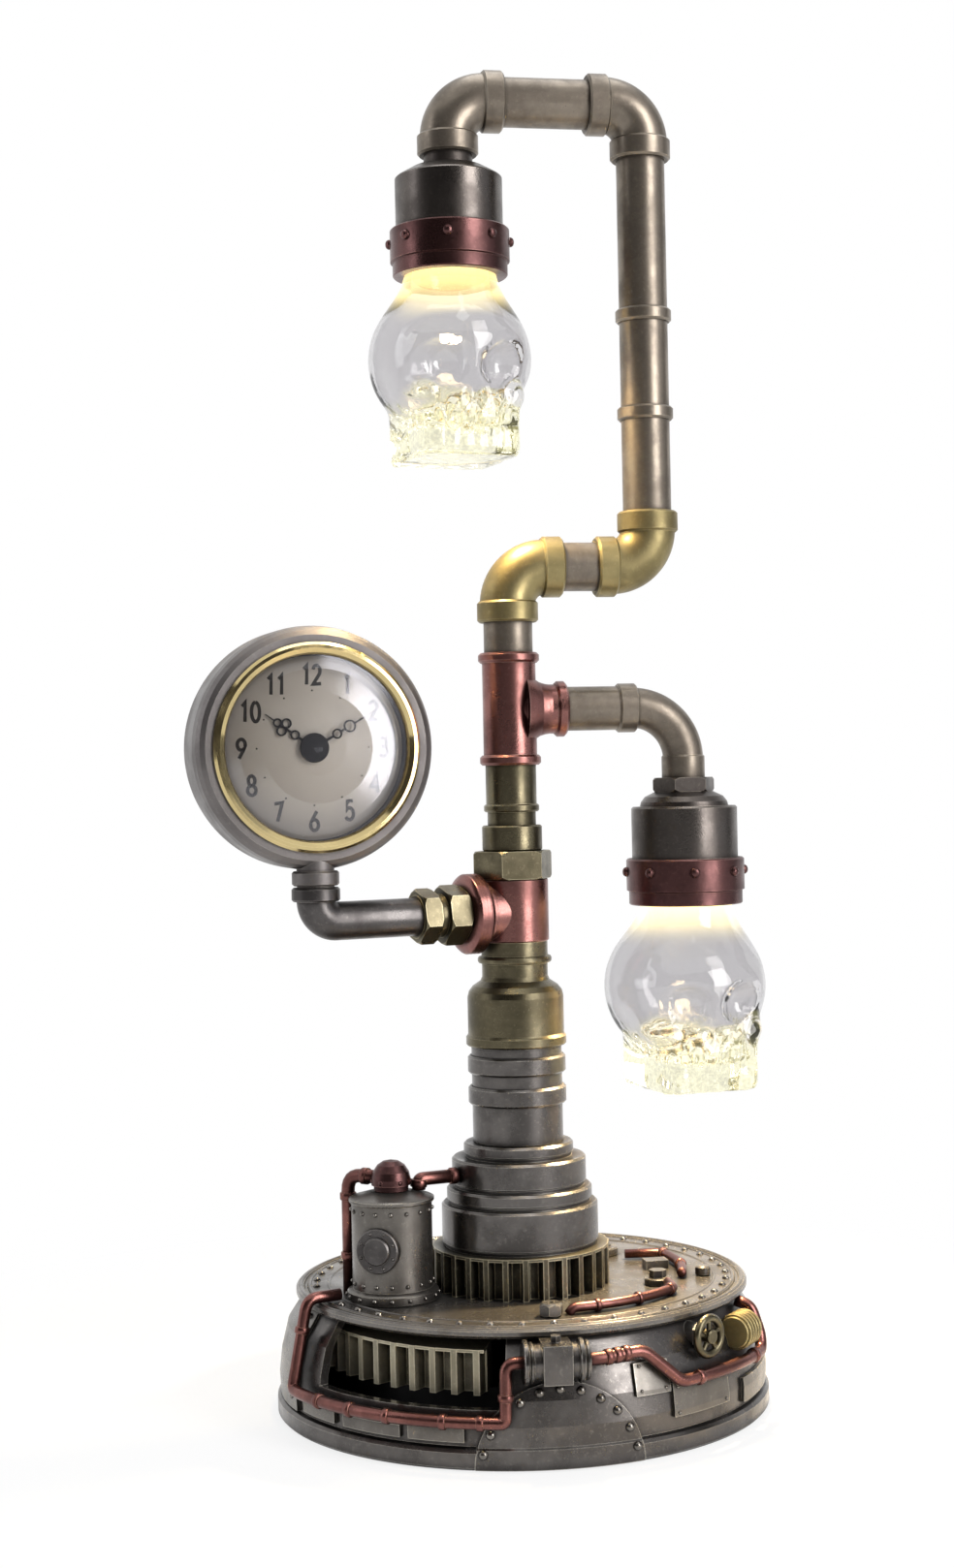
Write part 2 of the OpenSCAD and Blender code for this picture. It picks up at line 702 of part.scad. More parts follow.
// Spoked handwheel on the switch shaft
module handwheel() color(brass) on_wall(wheel_at, wall_at(wheel_z), wheel_z) {
    rotate_extrude() translate([wheel_r - wheel_rim_t, wheel_stand]) circle(r = wheel_rim_t);
    translate([0, 0, wheel_stand - wheel_t / 2]) bar(wheel_hub_r, 0, wheel_t + 0.6, 0.3);
    for (i = [0:wheel_spokes - 1]) rotate([0, 0, 90 + i * 360 / wheel_spokes])
        translate([switch_shaft_r + 0.3, 0, wheel_stand]) rotate([0, 90, 0])
            cylinder(r = 0.75, h = wheel_r - wheel_rim_t - switch_shaft_r - 0.3);
    translate([0, 0, -switch_back - 2.8]) cylinder(r = switch_shaft_r, h = switch_back + 2.3 + wheel_stand);
}

// Rotary dimmer: a body inside the wall and a threaded bush with its nut outside
module switch_unit() color(steel) on_wall(wheel_at, wall_at(wheel_z), wheel_z) difference() {
    union() {
        translate([0, 0, -switch_back - 1]) cylinder(r = bush_r, h = switch_back + 1 + bush_out);
        rotate([0, 0, 30]) translate([0, 0, bush_out - 1.6]) cylinder(r = bush_r + 1.2, h = 1.4, $fn = 6);
        translate([-switch_box[0] / 2, -switch_box[1] / 2 - 1, -switch_back - switch_box[2]]) cube(switch_box);
    }
    translate([0, 0, -switch_back - 4]) cylinder(r = switch_shaft_r + run_gap, h = switch_back + bush_out + 8);
}

module cord_gland() color(black) on_wall(180, wall_r, gland_z) difference() {
    union() {
        translate([0, 0, -wall_t - 2]) cylinder(r = gland_r, h = wall_t + 2 + gland_out);
        translate([0, 0, 0.6]) bar(gland_flange_r, 0, 2, 0.4);
    }
    translate([0, 0, -wall_t - 3]) cylinder(r = gland_bore_r, h = wall_t + gland_out + 6);
}

// Boiler tank on the deck

module tank_body() color(pewter) translate([tank_x, tank_y, 0]) rotate_extrude() polygon([
    [0, deck_z], [tank_flange_r - 0.3, deck_z], [tank_flange_r, deck_z + 0.4],
    [tank_flange_r, deck_z + tank_flange_h - 0.5], [tank_flange_r - 0.5, deck_z + tank_flange_h],
    [tank_r, deck_z + tank_flange_h + 0.6], [tank_r, tank_top], [0, tank_top]
]);

module tank_lid() color(pewter) translate([tank_x, tank_y, 0]) rotate_extrude() polygon([
    [0, tank_top], [tank_r + 0.5, tank_top], [tank_r + 0.8, tank_top + 0.4], [tank_r + 0.8, tank_top + 1.3],
    [tank_r, tank_top + 1.7], [tank_r - 4, tank_top + 2.8],
    [tank_dome_r, tank_top + tank_lid_h], [0, tank_top + tank_lid_h]
]);

module tank_dome() color(copper) translate([tank_x, tank_y, tank_top + tank_lid_h]) {
    bar(tank_dome_r - 0.8, 0, 2.6, 0.3);
    rotate_extrude() polygon([
        [0, 2], [tank_dome_r, 2], [tank_dome_r, 4], [tank_dome_r * 0.92, 6.4],
        [tank_dome_r * 0.7, 8.6], [tank_dome_r * 0.4, 9.9], [0, 10.4]
    ]);
    for (i = [0:5]) rotate([0, 0, i * 60]) translate([tank_dome_r - 0.6, 0, 3.2]) sphere(r = 1);
}

module tank_port() color(pewter) translate([tank_x, tank_y, deck_z + tank_h / 2 + 2]) rotate([0, 0, -18]) difference() {
    rotate([90, 0, 0]) {
        bar(tank_port_r, 6, tank_r + 1, 0.3);
        bar(0.62 * tank_port_r, 6, tank_r + 2, 0.4);
        for (i = [0:7]) rotate([0, 0, i * 45 + 22.5]) translate([0.82 * tank_port_r, 0, tank_r + 0.5]) dome(0.7, 1.2);
    }
    translate([0, 0, -20]) cylinder(r = tank_r + fit_gap, h = 40);
}

module tank_pipes() color(copper) {
    bend_z = tank_top + tank_lid_h + 4;
    down = tank_flange_r + tank_pipe_r + 0.3;
    pipe_run([tank_out(tank_dome_r + fit_gap, bend_z), tank_out(down, bend_z), tank_out(down, deck_z)], tank_pipe_r);
    translate(tank_out(down, deck_z)) bar(tank_pipe_r + 0.5, 8, 11, 0.3);
    step_z = gear_top + sum_to(step_heights, 2) + step_heights[2] / 2;
    peak = [tank_x + 9.1, tank_y + 3.1, step_z];
    inward = [-peak[0], column_y - peak[1], 0] / norm([peak[0], column_y - peak[1]]);
    into = [0, column_y, step_z] - (step_radii[2] + 0.2) * inward;
    pipe_run([[peak[0], peak[1], tank_top + tank_lid_h - 0.2], peak, into], tank_pipe_r);
}

// Copper pipes and fittings lying on the deck
module deck_pipes() color(copper) {
    r = 1.6;
    lie = deck_z + 1.3 * r;
    pipe_arc(16, 58, deck_r - 18, lie, r);
    pipe_run([around(58, deck_r - 18, lie), around(64.5, deck_r - 23.2, lie)], r);
    pipe_arc(80, 116, deck_r - 22, lie, r);
    pipe_run([around(116, deck_r - 22, lie), around(122, deck_r - 34, lie)], r);
    pipe_arc(150, 204, deck_r - 26, lie, r);
}

module deck_fittings() color(bronze) {
    translate(around(9, deck_r - 17.5, deck_z)) rotate([0, 0, 20]) hex_nut(7, 1, 0, 4.4);
    translate(around(70, deck_r - 28.5, deck_z)) {
        bar(4.6, 0, 2.4, 0.3);
        translate([0, 0, 2]) cylinder(r = 3, h = 3, $fn = 6);
    }
    translate(around(86, deck_r - 15, deck_z)) bar(2.6, 0, 3.4, 0.5);
    translate(around(100, deck_r - 30, deck_z)) rotate([0, 0, 12]) translate([-4, -3, 0]) cube([8, 6, 3.2]);
    translate(around(140, deck_r - 34, deck_z)) {
        bar(7, 0, 3, 0.5);
        translate([0, 0, 2.6]) dome(4.6, 3);
    }
    translate(around(214, deck_r - 26, deck_z)) hex_nut(9, 1.5, 0, 4);
}

// Column

module deck_gear() color(bronze) column_frame() rotate([0, 0, 3])
    toothed(deck_gear_tip_r, deck_gear_teeth, 3.8, tie_hole_r, deck_z, gear_top);

module column_base() color(pewter) column_frame() {
    lows = [for (i = [0:len(step_heights) - 1]) gear_top + sum_to(step_heights, i)];
    undercut = 0.7;
    steps = [for (i = [0:len(step_heights) - 1]) each [
        [step_radii[i] - undercut, lows[i]], [step_radii[i] - undercut, lows[i] + 1.2],
        [step_radii[i], lows[i] + 1.6], [step_radii[i], lows[i] + step_heights[i] - 0.7],
        [step_radii[i] - 0.7, lows[i] + step_heights[i]]
    ]];
    rotate_extrude() polygon(concat([[tie_hole_r, gear_top]], steps, [[tie_hole_r, steps_top]]));
}

module column_tube() color(pewter) column_frame() tube(column_r, tie_hole_r, steps_top, column_top, 0.3);

module column_bands() color(pewter) column_frame() for (z = [steps_top + 13, steps_top + 23.5])
    tube(column_r + 1.3, column_r + fit_gap, z, z + 6.2, 0.7);

module reducer() color(bronze) column_frame() rotate_extrude() polygon([
    [tie_hole_r, column_top], [column_r + 1.2, column_top], [column_r + 1.7, column_top + 0.5],
    [column_r + 1.7, column_top + 3], [column_r + 1.2, column_top + 3.6], [column_r + 1, column_top + 4],
    [column_r + 1, column_top + 16.6], [column_r + 0.5, column_top + 18.6], [column_r - 0.9, column_top + 20.4],
    [clock_tee_r - 0.1, column_top + 22.2], [clock_tee_r - 0.7, column_top + 23.6],
    [clock_tee_r - 0.7, reducer_top - 7.6], [clock_tee_r + 0.4, reducer_top - 7.2], [clock_tee_r + 0.7, reducer_top - 6.6],
    [clock_tee_r + 0.7, reducer_top - 5.8], [clock_tee_r + 0.4, reducer_top - 5.2], [clock_tee_r - 0.6, reducer_top - 4.8],
    [clock_tee_r - 0.6, reducer_top], [tie_hole_r, reducer_top]
]);

module clock_tee() color(copper) difference() {
    union() {
        column_frame() bar(clock_tee_r, reducer_top, tee_top, 0.5);
        arm_frame() translate([0, 0, arm_z]) rotate([0, 90, 0]) {
            bar(boss_r, 0, boss_end, 0.3);
            bar(boss_r + 0.7, clock_tee_r - 0.4, clock_tee_r + 0.8, 0.2);
        }
    }
    column_frame() translate([0, 0, reducer_top - 1]) cylinder(r = tie_hole_r, h = tie_top - reducer_top + 1);
    column_frame() translate([0, 0, tie_top - 1]) cylinder(r = pipe_bore_r, h = clock_tee_h);
}

module tie_tube() color(steel) column_frame() tube(tie_r, tie_bore_r, tie_bottom, tie_top, 0.3);

module tie_nut() color(steel) column_frame() hex_nut(tie_nut_af, tie_hole_r, deck_under - tie_nut_h, deck_under);

// Union nut with a pocket for the tail's flange
module union_nut() color(bronze) column_frame() rotate([0, 0, 15]) difference() {
    hex_nut(union_nut_af, union_bore_r, tee_top, nut_top);
    translate([0, 0, tee_top - 1]) cylinder(r = union_flange_r + run_gap, h = union_flange_h + 1 + 3 * face_gap);
}

// Mast

module union_tail() color(bronze) mast_frame() difference() {
    union() {
        translate([0, 0, tee_top + face_gap]) cylinder(r = union_flange_r, h = union_flange_h);
        translate([0, 0, tee_top + face_gap]) cylinder(r = spigot_r, h = union_nut_h + 1);
        bar(tail_r, tail_bottom, tail_top, 0.5);
    }
    translate([0, 0, tee_top - 1]) cylinder(r = pipe_bore_r, h = union_nut_h + tail_h + 3);
}

module lower_nipple() color(bronze) mast_frame() {
    tube(pipe_r + 0.3, pipe_bore_r, tail_top + 5, light_tee_bottom + tee_ring_h, 0.2);
    tube(pipe_r - 0.1, pipe_bore_r, tail_top, tail_top + 6, 0.2);
    tube(pipe_r + 1.1, pipe_bore_r, tail_top + 4.6, tail_top + 7.2, 0.5);
}

module light_tee() color(copper) mast_frame() difference() {
    union() {
        bar(light_tee_r, light_tee_bottom, light_tee_top, 0.2);
        bar(tee_ring_r, light_tee_bottom, light_tee_bottom + tee_ring_h, 0.8);
        bar(tee_ring_r, light_tee_top - tee_ring_h, light_tee_top, 0.8);
        translate([0, 0, branch_z]) rotate([0, 90, 0]) {
            bar(branch_r + 0.9, 0, branch_end, 0.2);
            bar(branch_r + 2, branch_end - 3.8, branch_end, 0.8);
            rotate_extrude() polygon([
                [0, 5], [branch_r + 5, 5], [branch_r + 3.2, 8], [branch_r + 1.7, 10.4],
                [branch_r + 1.1, 12.4], [branch_r + 0.8, 14.5], [0, 14.5]
            ]);
        }
    }
    translate([0, 0, light_tee_bottom - 1]) cylinder(r = pipe_bore_r, h = light_tee_h + 2);
    translate([0, 0, light_tee_bottom - 1]) cylinder(r = pipe_r + 0.3 + fit_gap, h = tee_ring_h + 1);
    translate([0, 0, light_tee_top - tee_ring_h]) cylinder(r = socket_r, h = tee_ring_h + 1);
    translate([0, 0, branch_z]) rotate([0, 90, 0]) cylinder(r = branch_bore_r, h = branch_end + 1);
    translate([branch_end - 3.5, 0, branch_z]) rotate([0, 90, 0]) cylinder(r = branch_r + fit_gap, h = 6);
}

module tee_nipple() color(bronze) mast_frame()
    tube(pipe_r, pipe_bore_r, light_tee_top - tee_ring_h, light_tee_top + tee_nipple_h + collar_h - 1, 0.2);

module offset_elbow_low() color(brass) mast_frame() translate([0, 0, offset_z]) elbow();

module offset_nipple() color(bronze) mast_frame() translate([0, 0, offset_z]) rotate([0, 90, 0])
    tube(pipe_r, pipe_bore_r, elbow_bend_r + 1, riser_out - elbow_bend_r - 1, 0.2);

module offset_elbow_high() color(brass) mast_frame() translate([riser_out, 0, offset_z]) rotate([0, 180, 0]) elbow();

module riser_pipe() color(pewter) mast_frame() translate([riser_out, 0, 0])
    tube(pipe_r, pipe_bore_r, riser_low - collar_h + 1, riser_high + collar_h - 1, 0.2);

module riser_rings() color(pewter) mast_frame() translate([riser_out, 0, 0]) for (z = riser_ring_at)
    tube(pipe_r + 1.3, pipe_r + fit_gap, riser_low + z - riser_ring_h / 2, riser_low + z + riser_ring_h / 2, 0.7);

module top_elbow_right() color(bronze) mast_frame() translate([riser_out, 0, top_z]) rotate([0, 0, 180]) elbow();

module top_pipe() color(pewter) mast_frame() translate([0, 0, top_z]) rotate([0, 90, 0])
    tube(pipe_r, pipe_bore_r, upper_light_s + elbow_bend_r + 1, riser_out - elbow_bend_r - 1, 0.2);

module top_elbow_left() color(pewter) mast_frame() translate([upper_light_s, 0, top_z]) elbow();

module branch_pipe() color(pewter) mast_frame() translate([0, 0, branch_z]) rotate([0, 90, 0])
    tube(branch_r, branch_bore_r, branch_end - 3.5, branch_out - branch_bend_r - 1, 0.2);

// Long bend of the lower light, with a collar at the pipe and a plain leg at the lamp cup
module branch_elbow() color(pewter) mast_frame() translate([branch_out, 0, branch_z]) rotate([0, 0, 180]) {
    socket = branch_r + fit_gap;
    sleeve = branch_bore_r + sleeve_step;
    hollow_bend(branch_bend_r, branch_elbow_r, branch_bore_r);
    translate([branch_bend_r, 0, 0]) rotate([0, 90, 0]) rotate_extrude() polygon([
        [sleeve, -collar_lap], [branch_collar_r - 0.5, -collar_lap], [branch_collar_r, 0.5 - collar_lap],
        [branch_collar_r, branch_collar_h - 0.7], [branch_collar_r - 0.7, branch_collar_h],
        [socket, branch_collar_h], [socket, 0], [sleeve, 0]
    ]);
    translate([0, 0, -branch_bend_r - branch_drop])
        tube(branch_drop_r, sleeve, 0, branch_drop + collar_lap, 0.4);
}

// Lights: each shape below is measured down from the top of its cup

module lamp_cup(top_line) rotate_extrude() polygon(concat(
    [[cup_r - cup_t, -cup_h], [cup_r, -cup_h], [cup_r, -0.6], [cup_r - 0.6, 0]],
    top_line,
    [[wire_hole_r, -cup_t], [cup_r - cup_t, -cup_t]]
));

// Both cups: the upper one hangs by a neck in its elbow, the lower one by a nut on its branch
module lamp_cups() color(pewter) {
    upper_light() lamp_cup([
        [12.6, shoulder_h], [pipe_r + 0.6, shoulder_h + 0.6], [pipe_r, shoulder_h + 1],
        [pipe_r, 7.5 + neck_in], [wire_hole_r, 7.5 + neck_in]
    ]);
    lower_light() {
        lamp_cup([
            [cup_r - 3, 0], [cup_r - 3.4, 1.6], [cup_r - 4.8, 3.4], [socket_nut_af / 2 + 0.8, dome_h], [wire_hole_r, dome_h]
        ]);
        hex_nut(socket_nut_af, branch_drop_r + fit_gap, dome_h, dome_h + socket_nut_h);
    }
}

module shade_ring() difference() {
    rotate_extrude() polygon([
        [glass_neck_r + 0.25, ring_low_z], [shade_ring_r - 1.2, ring_low_z], [shade_ring_r - 0.8, ring_low_z + 0.4],
        [shade_ring_r - 0.8, ring_low_z + lip_h - 0.4], [shade_ring_r, ring_low_z + lip_h],
        [shade_ring_r, -cup_h - 0.5], [shade_ring_r - 0.5, -cup_h],
        [bead_r + 0.15, -cup_h], [bead_r + 0.15, bead_top - bead_h], [glass_neck_r + 0.25, bead_top - bead_h]
    ]);
    for (i = [0:shade_screw_count - 1]) rotate([0, 0, i * 360 / shade_screw_count]) translate([0, 0, screw_z])
        rotate([90, 0, 0]) cylinder(r = screw_r + fit_gap, h = shade_ring_r + 2);
}
module shade_rings() color(copper) {
    upper_light() rotate([0, 0, -mast_turn]) shade_ring();
    lower_light() rotate([0, 0, 5 - mast_turn]) shade_ring();
}

module ring_screws() for (i = [0:shade_screw_count - 1]) rotate([0, 0, i * 360 / shade_screw_count])
    translate([0, 0, screw_z]) rotate([90, 0, 0]) {
        translate([0, 0, bead_r + 0.6]) cylinder(r = screw_r, h = shade_ring_r - bead_r);
        translate([0, 0, shade_ring_r + fit_gap]) dome(screw_head_r, 1.5);
    }
module shade_screws() color(copper) {
    upper_light() rotate([0, 0, -mast_turn]) ring_screws();
    lower_light() rotate([0, 0, 5 - mast_turn]) ring_screws();
}

// A rounded lump of the skull: place, and half-sizes along, across and up the face
module lump(at, size) translate(at) hull() scale(size) sphere(r = 1, $fn = 20);

// Hollows of the eyes and the nose, made larger by a distance
module skull_hollows(crown, more) {
    for (side = [-1, 1]) lump([25, 10.5 * side, crown - 5.5], [8.5 + more, 7.6 + more, 8 + more]);
    lump([27, 0, crown - 15], [6 + more, 3.6 + more, 6 + more]);
}

// Glass skull below its neck. X is the way that it looks, and the jaw ends in a flat foot.
module skull() {
    foot = ring_low_z - skull_h;
    crown = ring_low_z - 28.5;
    bowl = [29, 25.5, 26.5];
    difference() {
        union() {
            translate([0, 0, ring_low_z - 8]) cylinder(r = glass_neck_r, h = bead_top - bead_h - ring_low_z + 8.5, $fn = 40);
            translate([0, 0, bead_top - bead_h]) cylinder(r = bead_r, h = bead_h, $fn = 40);
            lump([-3, 0, crown], bowl);
            lump([17, 0, crown + 2], [10, 19, 8]);
            for (side = [-1, 1]) lump([16, 16 * side, crown - 16], [8, 7.5, 7]);
            hull() {
                translate([-9, 0, foot]) cylinder(r = 15, h = 22, $fn = 24);
                for (side = [-1, 1]) translate([10, 8 * side, foot]) cylinder(r = 11.5, h = 20, $fn = 24);
            }
        }
        skull_hollows(crown, 0);
        difference() {
            union() {
                translate([0, 0, crown - 20]) cylinder(r = glass_neck_r - glass_t, h = bead_top - crown + 22, $fn = 40);
                lump([-3, 0, crown], bowl - 1.2 * glass_t * [1, 1, 1]);
            }
            skull_hollows(crown, glass_t);
        }
    }
}
module glass_skulls() color([0.85, 0.87, 0.92, 0.4]) {
    upper_light() rotate([0, 0, skull_turn - 90 - mast_turn]) skull();
    lower_light() rotate([0, 0, skull_turn - 90 - mast_turn]) skull();
}

// Disc of light-emitting chips under a small diffuser
module led_module() {
    translate([0, 0, -cup_h + 1.5]) bar(led_r, 0, led_t, 0.3);
    translate([0, 0, -cup_h + 1.6]) rotate([180, 0, 0]) dome(led_dome_r, 5);
}
module led_modules() color("#fff3c8") {
    upper_light() led_module();
    lower_light() led_module();
}

// Clock

// Ribbed copper ring and two nuts on a short bar between the tee and the arm
module clock_fittings() color(bronze) arm_frame() translate([0, 0, arm_z]) rotate([0, 90, 0]) {
    rotate_extrude() polygon(concat(
        [[0, boss_end], [clock_ring_r - 1.6, boss_end]],
        [for (i = [0:3]) each [[clock_ring_r, boss_end + 0.7 + i * 1.3], [clock_ring_r - 0.5, boss_end + 1.3 + i * 1.3]]],
        [[clock_ring_r - 2.4, clock_ring_end], [0, clock_ring_end]]
    ));
    translate([0, 0, boss_end + 1]) cylinder(r = clock_pipe_r + 0.9, h = clock_nut_small[1] - boss_end - 1);
    rotate([0, 0, 12]) hex_bar(clock_nut_big[2], clock_nut_big[0], clock_nut_big[1]);
    rotate([0, 0, 12]) hex_bar(clock_nut_small[2], clock_nut_small[0], clock_nut_small[1] - 0.3);
}

// Arm with its bend and the fixed half of the stem
module clock_arm() color(pewter) arm_frame() {
    translate([0, 0, arm_z]) rotate([0, 90, 0]) bar(clock_pipe_r, clock_nut_small[1], clock_out - arm_bend_r + 0.1, 0.1);
    translate([clock_out, 0, arm_z]) rotate([0, 180, 0]) quarter_bend(arm_bend_r, clock_pipe_r);
    translate([clock_out, 0, stem_low - face_gap]) {
        bar(clock_pipe_r + 1.6, -arm_ring_h - 0.2, 0, 0.6);
        bar(stem_post_r, -1, stem_post_h, 0.3);
    }
}

// Case with its pocket for the insert, and the turning half of the stem
module clock_case() color(pewter) difference() {
    union() {
        face_frame() rotate_extrude() polygon([
            [movement_r - 4, case_back], [case_r - 4, case_back], [case_r - 1.6, case_back + 0.8], [case_r - 0.4, case_back + 2.4],
            [case_r, case_back + 5], [case_r, case_front - 6], [case_r - 0.16 * case_edge, case_front - 3],
            [case_r - 0.5 * case_edge, case_front - 1.2], [case_r - case_edge, case_front],
            [bezel_r + fit_gap, case_front], [bezel_r + fit_gap, case_front - 2],
            [insert_r + fit_gap, case_front - 2], [insert_r + fit_gap, case_back + 3], [movement_r - 4, case_back + 3]
        ]);
        stem_frame() {
            difference() {
                translate([0, 0, stem_low]) cylinder(r = stem_r, h = stem_h + 3.6);
                translate([0, -stem_fwd, clock_z]) rotate([90, 0, 0])
                    cylinder(r = max(case_r - 4, bezel_r + fit_gap + 0.6), h = 2 * case_d, center = true);
            }
            bar(stem_r + 1.6, stem_low + 0.5, stem_low + 5.3, 0.6);
        }
    }
    stem_frame() translate([0, 0, stem_low - 1]) cylinder(r = stem_post_r + run_gap, h = stem_post_h + 1);
}

module clock_bezel() color(brass) face_frame() rotate_extrude() polygon([
    [lens_r + 0.1, case_front - 1.9], [bezel_r, case_front - 1.9], [bezel_r, case_front + 1], [bezel_r - 0.9, case_front + 1.9],
    [bezel_r - 2, case_front + 2], [lens_r + 0.6, case_front + 1], [lens_r + 0.1, case_front]
]);

// The push-in insert: cup, movement, dial and a cell in its back
module clock_insert() color("#e6dcc4") face_frame() {
    difference() {
        translate([0, 0, movement_back]) cylinder(r = insert_r, h = dial_at - movement_back);
        translate([0, 0, movement_back - 1]) cylinder(r = hour_tube_r + run_gap, h = case_d);
        translate([0, 0, movement_back - 1]) cylinder(r = knob_r + 1.5, h = knob_t + 1.5);
        translate([0, -16, movement_back - 1]) cylinder(r = cell_r + fit_gap, h = cell_t + 1);
    }
    translate([0, -16, movement_back]) cylinder(r = cell_r, h = cell_t);
}

// Domed glass inside the bezel
module clock_lens() color([0.9, 0.9, 0.9, 0.3]) face_frame() rotate_extrude() polygon(concat(
    [[lens_r, dial_at]],
    [for (q = lens_curve) [lens_r * q[0], case_front + lens_rise * q[1]]],
    [for (q = reversed(lens_curve)) [lens_r * q[0] - (q[0] == 1 ? lens_t : 0), case_front + lens_rise * q[1] - lens_t]],
    [[lens_r - lens_t, dial_at]]
));

// A hand in the face's frame that points to an angle clockwise from twelve
module hand(angle, length, loops) rotate([0, 0, 180 - angle]) linear_extrude(hand_t) difference() {
    union() {
        polygon([[-0.5, 0], [0.5, 0], [0.12, length], [-0.12, length]]);
        for (p = loops) translate([p[1], p[0]]) circle(r = p[2]);
    }
    for (p = loops) translate([p[1], p[0]]) circle(r = p[2] - 0.55);
}

// Minute hand, cap, arbor and setting knob, which turn as one
module minute_work() color(black) face_frame() {
    translate([0, 0, minute_at]) hand(minute_angle, minute_len, [[9, 0, 1.7], [14, 0, 2.1]]);
    translate([0, 0, minute_at]) bar(cap_r, 0, cap_t, 0.3);
    translate([0, 0, movement_back + 0.5]) cylinder(r = arbor_r, h = minute_at - movement_back);
    translate([0, 0, movement_back - knob_t + 2.4]) bar(knob_r, 0, knob_t, 0.6);
}

// Hour hand on its tube, round the minute arbor
module hour_hand() color(black) face_frame() difference() {
    union() {
        translate([0, 0, hour_at]) hand(hour_angle, hour_len, [[7.5, 0, 1.6], [12, 1.5, 1.7], [12, -1.5, 1.7], [14.6, 0, 1.5]]);
        translate([0, 0, hour_at]) cylinder(r = hour_hub_r, h = hand_t);
        translate([0, 0, dial_at - 3]) cylinder(r = hour_tube_r, h = hour_at - dial_at + 3.2);
    }
    translate([0, 0, dial_at - 6]) cylinder(r = arbor_r + run_gap, h = 12);
}

base_shell();
base_floor();
felt_pad();
floor_screws();
deck_plate();
rivets();
ring_gear();
gear_stand();
arch_plate();
wall_plates();
valve_body();
window_pipe();
side_pipe();
hose_stub();
handwheel();
switch_unit();
cord_gland();
tank_body();
tank_lid();
tank_dome();
tank_port();
tank_pipes();
deck_pipes();
deck_fittings();
deck_gear();
column_base();
column_tube();
column_bands();
reducer();
clock_tee();
tie_tube();
tie_nut();
union_nut();
union_tail();
lower_nipple();
light_tee();
tee_nipple();
offset_elbow_low();
offset_nipple();
offset_elbow_high();
riser_pipe();
riser_rings();
top_elbow_right();
top_pipe();
top_elbow_left();
branch_pipe();
branch_elbow();
lamp_cups();
shade_rings();
shade_screws();
glass_skulls();
led_modules();
clock_fittings();
clock_arm();
clock_case();
clock_bezel();
clock_lens();
clock_insert();
minute_work();
hour_hand();
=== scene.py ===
"""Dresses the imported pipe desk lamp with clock: finishes, glass skulls, rivets, dial and studio."""
from __future__ import annotations

import json
import logging
import math
from dataclasses import dataclass
from enum import Enum
from typing import Any, Callable, Iterable, Sequence

import bpy
import numpy as np
from mathutils import Matrix, Vector

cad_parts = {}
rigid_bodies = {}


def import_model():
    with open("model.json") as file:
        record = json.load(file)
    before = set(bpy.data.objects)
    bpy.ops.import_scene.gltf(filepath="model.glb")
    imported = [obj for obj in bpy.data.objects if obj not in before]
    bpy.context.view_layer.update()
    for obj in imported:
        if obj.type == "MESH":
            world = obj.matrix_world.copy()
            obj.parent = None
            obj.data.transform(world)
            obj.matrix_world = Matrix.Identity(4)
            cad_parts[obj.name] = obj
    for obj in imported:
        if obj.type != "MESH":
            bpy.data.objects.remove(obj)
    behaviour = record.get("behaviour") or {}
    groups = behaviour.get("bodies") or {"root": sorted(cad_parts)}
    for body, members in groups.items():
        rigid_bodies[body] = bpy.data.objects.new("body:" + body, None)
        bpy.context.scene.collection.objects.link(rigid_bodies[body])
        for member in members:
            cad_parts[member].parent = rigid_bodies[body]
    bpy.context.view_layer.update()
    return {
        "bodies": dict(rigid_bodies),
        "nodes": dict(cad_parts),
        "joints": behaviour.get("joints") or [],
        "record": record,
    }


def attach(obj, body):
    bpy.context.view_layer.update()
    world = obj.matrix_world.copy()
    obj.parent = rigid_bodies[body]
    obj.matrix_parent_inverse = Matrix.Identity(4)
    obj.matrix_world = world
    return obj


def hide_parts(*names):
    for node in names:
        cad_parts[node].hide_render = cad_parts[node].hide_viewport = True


LOG = logging.getLogger("pipe_lamp")
MM = 0.001
GLASS_IOR = 1.46
WHITE = (1.0, 1.0, 1.0)
Colour = tuple[float, float, float]
Point = tuple[float, float, float]


class Op(Enum):
    """Operations of a Math node."""

    ADD = "ADD"
    SUBTRACT = "SUBTRACT"
    MULTIPLY = "MULTIPLY"
    POWER = "POWER"
    MAXIMUM = "MAXIMUM"


